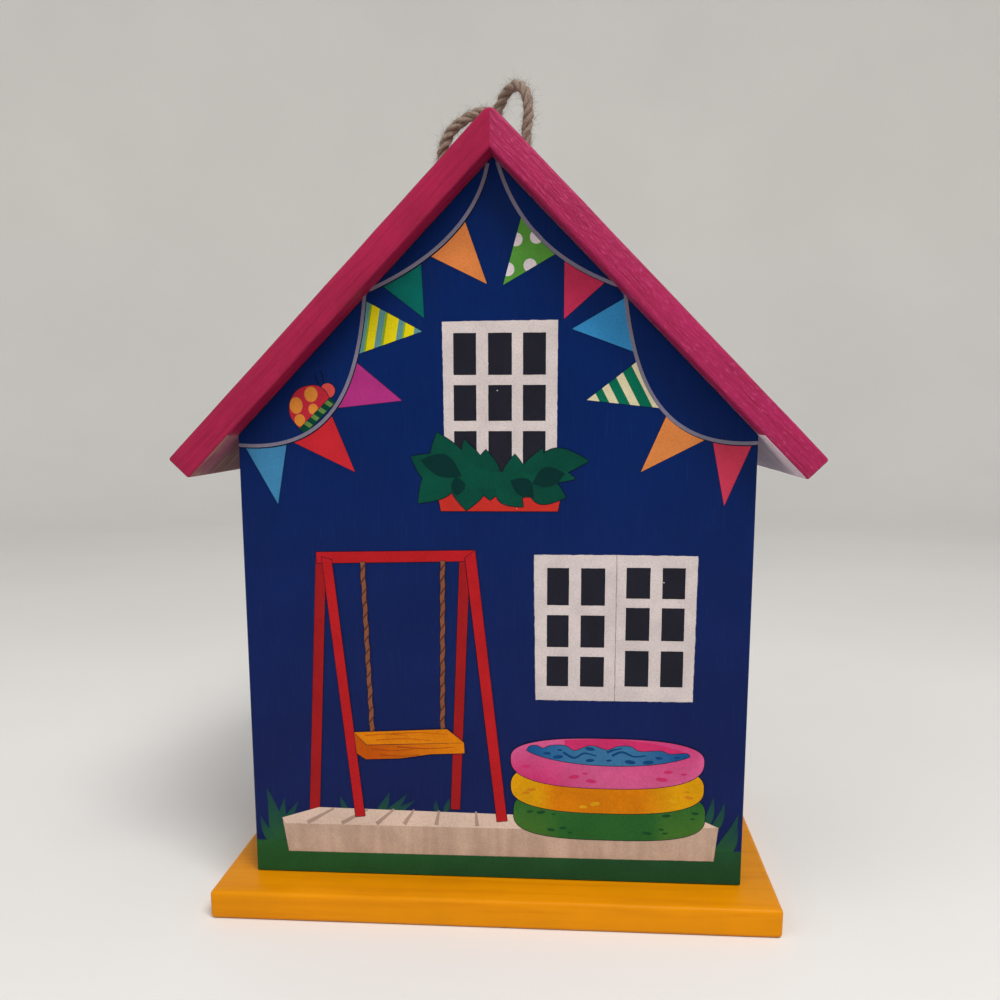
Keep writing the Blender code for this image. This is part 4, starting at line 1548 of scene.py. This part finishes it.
def drawPool(bm):
    layer = 9
    rules = {"green": greenInk, "yellow": ringInk}
    for centre, width, height, power, name in pool["rings"]:
        ring = oval(centre, width, height, power=power, count=72)
        addOutlined(bm, ring, layer, rules[name], pool["line"])
        layer += 2
    centre, width, height, power = pool["rim"]
    lower = [p for p in oval(centre, width, height, power=power, count=72) if p.y <= centre[1]]
    upper = oval(centre, width, height - pool["rimDip"], power=power, count=72)
    rim = lower + [p for p in upper if p.y > centre[1]]
    rim.sort(key=lambda p: math.atan2(p.y - centre[1], p.x - centre[0]))
    addOutlined(bm, rim, layer, pinkInk, pool["line"])
    waves = smoothLine(pool["waterTop"], 0.5)
    inner = [Vector(p) for p in pool["innerTop"]]
    behind = [p for p in waves if inner[0].x < p.x < inner[-1].x]
    inside = [inner[1], *smoothLine(pool["innerTop"][1:], 1.0)[1:], *reversed(behind)]
    addFilm(bm, inside, layer + 2, pool["pinkInner"])
    water = waves + bezier(pool["waterBottom"], count=40)[1:-1]
    addOutlined(bm, water, layer + 3, waterInk, 0.2)
    for stroke in pool["strokes"]:
        addFilm(bm, ribbon(smoothLine(stroke), 0.9, 0.4), layer + 5, pool["wave"])
    addSpots(bm, pool["waterSpots"], layer + 5, pool["wave"], 2.8)
    addSpots(bm, pool["pinkSpots"], layer + 2, pool["pinkInner"], 3.0)
    addSpots(bm, pool["yellowSpots"], layer, pool["orangeSpot"], 2.8)
    addSpots(bm, pool["amberSpots"], layer, pool["amber"], 2.6)
    addSpots(bm, pool["greenSpots"], layer - 2, pool["greenDark"], 2.4)


ladybird = {
    "shell": [
        (-64.5, 167.0), (-67.3, 170.9), (-67.5, 175.0), (-65.5, 178.7), (-62.4, 180.5), (-58.4, 180.9),
        (-55.5, 179.1), (-54.2, 176.8),
    ],
    "shellInk": linear(178, 36, 54),
    "spots": [
        ((-65.3, 174.4), 4.3, 5.4),
        ((-60.2, 178.0), 4.4, 5.0),
        ((-59.6, 173.2), 3.2, 3.6),
        ((-64.2, 169.6), 3.6, 4.0),
    ],
    "spotInk": linear(206, 128, 50),
    "head": ((-54.6, 179.2), 4.8, 4.8),
    "headInk": linear(200, 72, 66),
    "belly": [(-64.8, 166.8), (-54.0, 177.0), (-52.2, 175.2), (-62.4, 165.2)],
    "bellyInk": linear(0, 60, 46),
    "bandInk": linear(92, 124, 62),
    "feelers": [
        [(-57.6, 181.4), (-58.2, 183.0), (-58.9, 184.6)],
        [(-56.0, 181.8), (-56.2, 183.8), (-56.9, 185.6)],
    ],
}


def drawLadybird(bm):
    for feeler in ladybird["feelers"]:
        addFilm(bm, ribbon(smoothLine(feeler), 0.5, 0.3), 1, lineInk)
    addOutlined(bm, oval(*ladybird["head"]), 1, ladybird["headInk"], 0.2)
    addOutlined(bm, ladybird["belly"], 3, ladybird["bellyInk"], 0.2)
    foot, top = Vector(ladybird["belly"][0]), Vector(ladybird["belly"][1])
    out = Vector(ladybird["belly"][3]) - foot
    for i in range(4):
        share = 0.16 + 0.22 * i
        start, end = foot.lerp(top, share), foot.lerp(top, share + 0.10)
        addFilm(bm, [start, end, end + out * 0.85, start + out * 0.85], 5, ladybird["bandInk"])
    shell = smoothLine(ladybird["shell"], 0.8)
    addOutlined(bm, shell, 6, ladybird["shellInk"], 0.2)
    for centre, width, height in ladybird["spots"]:
        addFilm(bm, clipped(oval(centre, width, height), shell), 8, ladybird["spotInk"])


for name, draw in [
    ("printBunting", drawBunting),
    ("printUpperWindow", drawUpperWindow),
    ("printFlowers", drawFlowers),
    ("printLowerWindow", drawLowerWindow),
    ("printSwing", drawSwing),
    ("printGarden", drawGarden),
    ("printPool", drawPool),
    ("printLadybird", drawLadybird),
]:
    addPrint(name, draw)
print("picture printed")


# roof: one chevron, rounded along the ridge, then sawn into its two boards

roofLow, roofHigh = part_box("roof_right")
roof = {
    "ridgeHeight": 264.0 * mm,
    "thick": 9.0 * mm,
    "slope": 150.3 * mm,
    "ridgeRound": 3.0 * mm,
    "edgeRound": 0.9 * mm,
    "cordHole": 2.8 * mm,
    "cordInset": 8.0 * mm,
    "cutStep": 5.0 * mm,
    "seamHalf": 0.02 * mm,
    "waver": 0.09 * mm,
    "waverSize": 11 * mm,
}


def addChevron():
    plank = addBlock("chevron", (0, roofLow.y, -roof["thick"]), (roof["slope"], roofHigh.y, 0))
    plank.rotation_euler.y = pitch
    plank.location.z = roof["ridgeHeight"]
    workOn(plank)
    bpy.ops.object.transform_apply(location=True, rotation=True, scale=True)
    saw(plank, (0, 0, 0), (-1, 0, 0), closed=False)
    mirror = plank.modifiers.new("other slope", "MIRROR")
    mirror.merge_threshold = tolerance
    bpy.ops.object.modifier_apply(modifier=mirror.name)
    bpy.ops.object.mode_set(mode="EDIT")
    bpy.ops.mesh.select_all(action="SELECT")
    bpy.ops.mesh.normals_make_consistent(inside=False)
    bpy.ops.mesh.dissolve_limited(angle_limit=math.radians(1))
    bpy.ops.object.mode_set(mode="OBJECT")
    top = roof["ridgeHeight"] - tolerance
    eave = roofHigh.x - roof["thick"]
    end = roofHigh.y

    def onRidge(middle, direction):
        return middle.z > top and abs(direction.y) > 0.9

    def outerEdge(middle, direction):
        return abs(abs(middle.y) - end) < tolerance or (abs(direction.y) > 0.99 and abs(middle.x) > eave)

    roundEdges(plank, roof["ridgeRound"], 8, onRidge)
    roundEdges(plank, roof["edgeRound"], 3, outerEdge)
    return plank


def addRoofBoard(chevron, side, sign, paint, soffit):
    workOn(chevron)
    bpy.ops.object.duplicate()
    board = bpy.context.object
    board.name = "roofBoard" + side.capitalize()
    board.data.name = board.name
    saw(board, (sign * roof["seamHalf"], 0, 0), (-sign, 0, 0))
    drill(board, (sign * roof["cordInset"], 0, roofHigh.z), (0, 0, 1), roof["cordHole"], 60 * mm, 32)
    down = Vector((sign * math.cos(pitch), 0, -math.sin(pitch)))
    top = Vector((0, 0, roof["ridgeHeight"]))
    cuts = [(top + down * place, down) for place in spread(0, roof["slope"], roof["cutStep"])]
    cuts += [((0, y, 0), (0, 1, 0)) for y in spread(roofLow.y, roofHigh.y, roof["cutStep"])]
    cuts += [((sign * halfBody, 0, 0), (1, 0, 0))]
    cuts += [((0, y, 0), (0, 1, 0)) for y in (-halfDepth, halfDepth)]
    score(board, cuts)
    weather(board, roof["waver"], roof["waverSize"], 3.0 + sign)

    def bare(centre, normal):
        beyondWalls = abs(centre.x) > halfBody or abs(centre.y) < halfDepth
        inHole = abs(centre.x - sign * roof["cordInset"]) < roof["cordHole"] and abs(normal.z) < 0.1
        facesDown = normal.z < -0.6 and normal.x * sign < -0.6
        return (facesDown and beyondWalls) or (inHole and abs(centre.y) < roof["cordHole"])

    paintFaces(board, (paint, everywhere), (soffit, bare))
    shadeBoard(board)
    settle(board, "house", "roof_paint", "roof_" + side)


def addRoof():
    chevron = addChevron()
    addRoofBoard(chevron, "left", -1, crimsonLeft, soffitLeft)
    addRoofBoard(chevron, "right", 1, crimsonRight, soffitRightLit)
    bpy.data.objects.remove(chevron)


addRoof()
print("roof done")


# perch, clean-out cover and the screws

trim = {
    "perchRound": 1.2 * mm,
    "perchStep": 2.0 * mm,
    "perchWaver": 0.05 * mm,
    "perchWaverSize": 6 * mm,
    "coverCorner": 10.0 * mm,
    "coverRound": 0.8 * mm,
    "pivotHeight": 88.0 * mm,
    "pivotHole": 2.05 * mm,
    "washerRound": 0.2 * mm,
}


def addPerch():
    low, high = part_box("perch")
    dowel = addRod("perchDowel", low, high, high.y - low.y, (math.radians(90), 0, 0), 40)
    roundEdges(dowel, trim["perchRound"], 4, lambda middle, direction: middle.y > high.y - tolerance)
    score(dowel, [((0, y, 0), (0, 1, 0)) for y in spread(low.y, high.y, trim["perchStep"])])
    weather(dowel, trim["perchWaver"], trim["perchWaverSize"], 5.0)
    paintFaces(dowel, (yellowPerch, everywhere))
    shadeBoard(dowel)
    settle(dowel, "house", "dowel", "perch")


def addCover():
    low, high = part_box("cleanout_cover")
    cover = addBlock("cleanoutFlap", low, high)
    roundEdges(cover, trim["coverCorner"], 10, lambda middle, direction: abs(direction.x) > 0.99)
    outer = high.x
    roundEdges(cover, trim["coverRound"], 3, lambda middle, direction: abs(middle.x - outer) < tolerance)
    drill(cover, (outer, 0, trim["pivotHeight"]), (1, 0, 0), trim["pivotHole"], 30 * mm, 32)
    paintFaces(cover, (blueWall, everywhere), (wallWood, lambda centre, normal: normal.x < -0.5))
    shadeBoard(cover)
    settle(cover, "cover", "cover_paint", "cleanout_cover")


def addWasher():
    low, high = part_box("pivot_washer")
    washer = addRod("pivotWasher", low, high, high.x - low.x, (0, math.radians(90), 0), 48)
    roundEdges(washer, trim["washerRound"], 2, lambda middle, direction: abs(direction.x) < 0.5)
    drill(washer, (low + high) / 2, (1, 0, 0), trim["pivotHole"], 10 * mm, 32)
    paintFaces(washer, (zinc, everywhere))
    shadeBoard(washer)
    settle(washer, "house", "steel", "pivot_washer")


addPerch()
addCover()
addWasher()

for name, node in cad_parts.items():
    if "brad" in name or "screw" in name:
        node.data.materials.clear()
        node.data.materials.append(zinc)
print("perch, cover and fasteners done")


# stage: plain pale floor that sweeps up behind

stage = {
    "floor": linear(232, 229, 224),
    "firstRing": 0.25,
    "flat": 1.3,
    "bend": 0.6,
    "height": 2.2,
    "sides": 96,
    "bendSteps": 16,
}


def paleFloor():
    material, tree, shader = newMaterial("paleFloor", 0.6)
    vector = objectVector(tree)
    tones = {"Vector": vector, "Colour": stage["floor"], "Size": 300.0, "Amount": 0.02}
    tone = useGroup(tree, unevenTone, tones)
    tree.links.new(tone["Colour"], shader["Base Color"])
    return material


def addStage():
    # a round floor that bends up into a wall all the way round
    profile = [(stage["firstRing"], 0.0), (stage["flat"], 0.0)]
    for i in range(1, stage["bendSteps"] + 1):
        angle = math.radians(90 * i / stage["bendSteps"])
        out = stage["flat"] + stage["bend"] * math.sin(angle)
        profile.append((out, stage["bend"] * (1 - math.cos(angle))))
    profile.append((profile[-1][0], stage["height"]))
    bm = bmesh.new()
    middle = bm.verts.new((0, 0, 0))
    turns = [2 * math.pi * i / stage["sides"] for i in range(stage["sides"])]
    rings = []
    for out, height in profile:
        ring = [(out * math.cos(turn), out * math.sin(turn), height) for turn in turns]
        rings.append([bm.verts.new(place) for place in ring])
    for i in range(stage["sides"]):
        after = (i + 1) % stage["sides"]
        bm.faces.new((middle, rings[0][i], rings[0][after]))
        for lower, upper in zip(rings, rings[1:]):
            bm.faces.new((lower[i], upper[i], upper[after], lower[after]))
    dish = meshPiece("floorDish", bm, paleFloor())


lights = {
    "room": (0.80, 0.84, 0.90, 1.0),
    "roomStrength": 0.55,
    "target": (0, 0, 0.12),
    # place, size and power
    "keyLight": ((0.42, -0.70, 1.30), 0.6, 15.0),
    "fillLight": ((-0.9, -0.8, 0.9), 1.2, 4.0),
}


def addLight(name):
    place, size, power = lights[name]
    bpy.ops.object.light_add(type="AREA", location=place)
    lamp = bpy.context.object
    lamp.name = name
    lamp.data.size = size
    lamp.data.energy = power
    aim = Vector(lights["target"]) - Vector(place)
    lamp.rotation_euler = aim.to_track_quat("-Z", "Y").to_euler()


def addLights():
    world = bpy.data.worlds.new("softRoom")
    world.use_nodes = True
    background = world.node_tree.nodes["Background"].inputs
    background["Color"].default_value = lights["room"]
    background["Strength"].default_value = lights["roomStrength"]
    bpy.context.scene.world = world
    addLight("keyLight")
    addLight("fillLight")


addStage()
addLights()
print("stage lit")
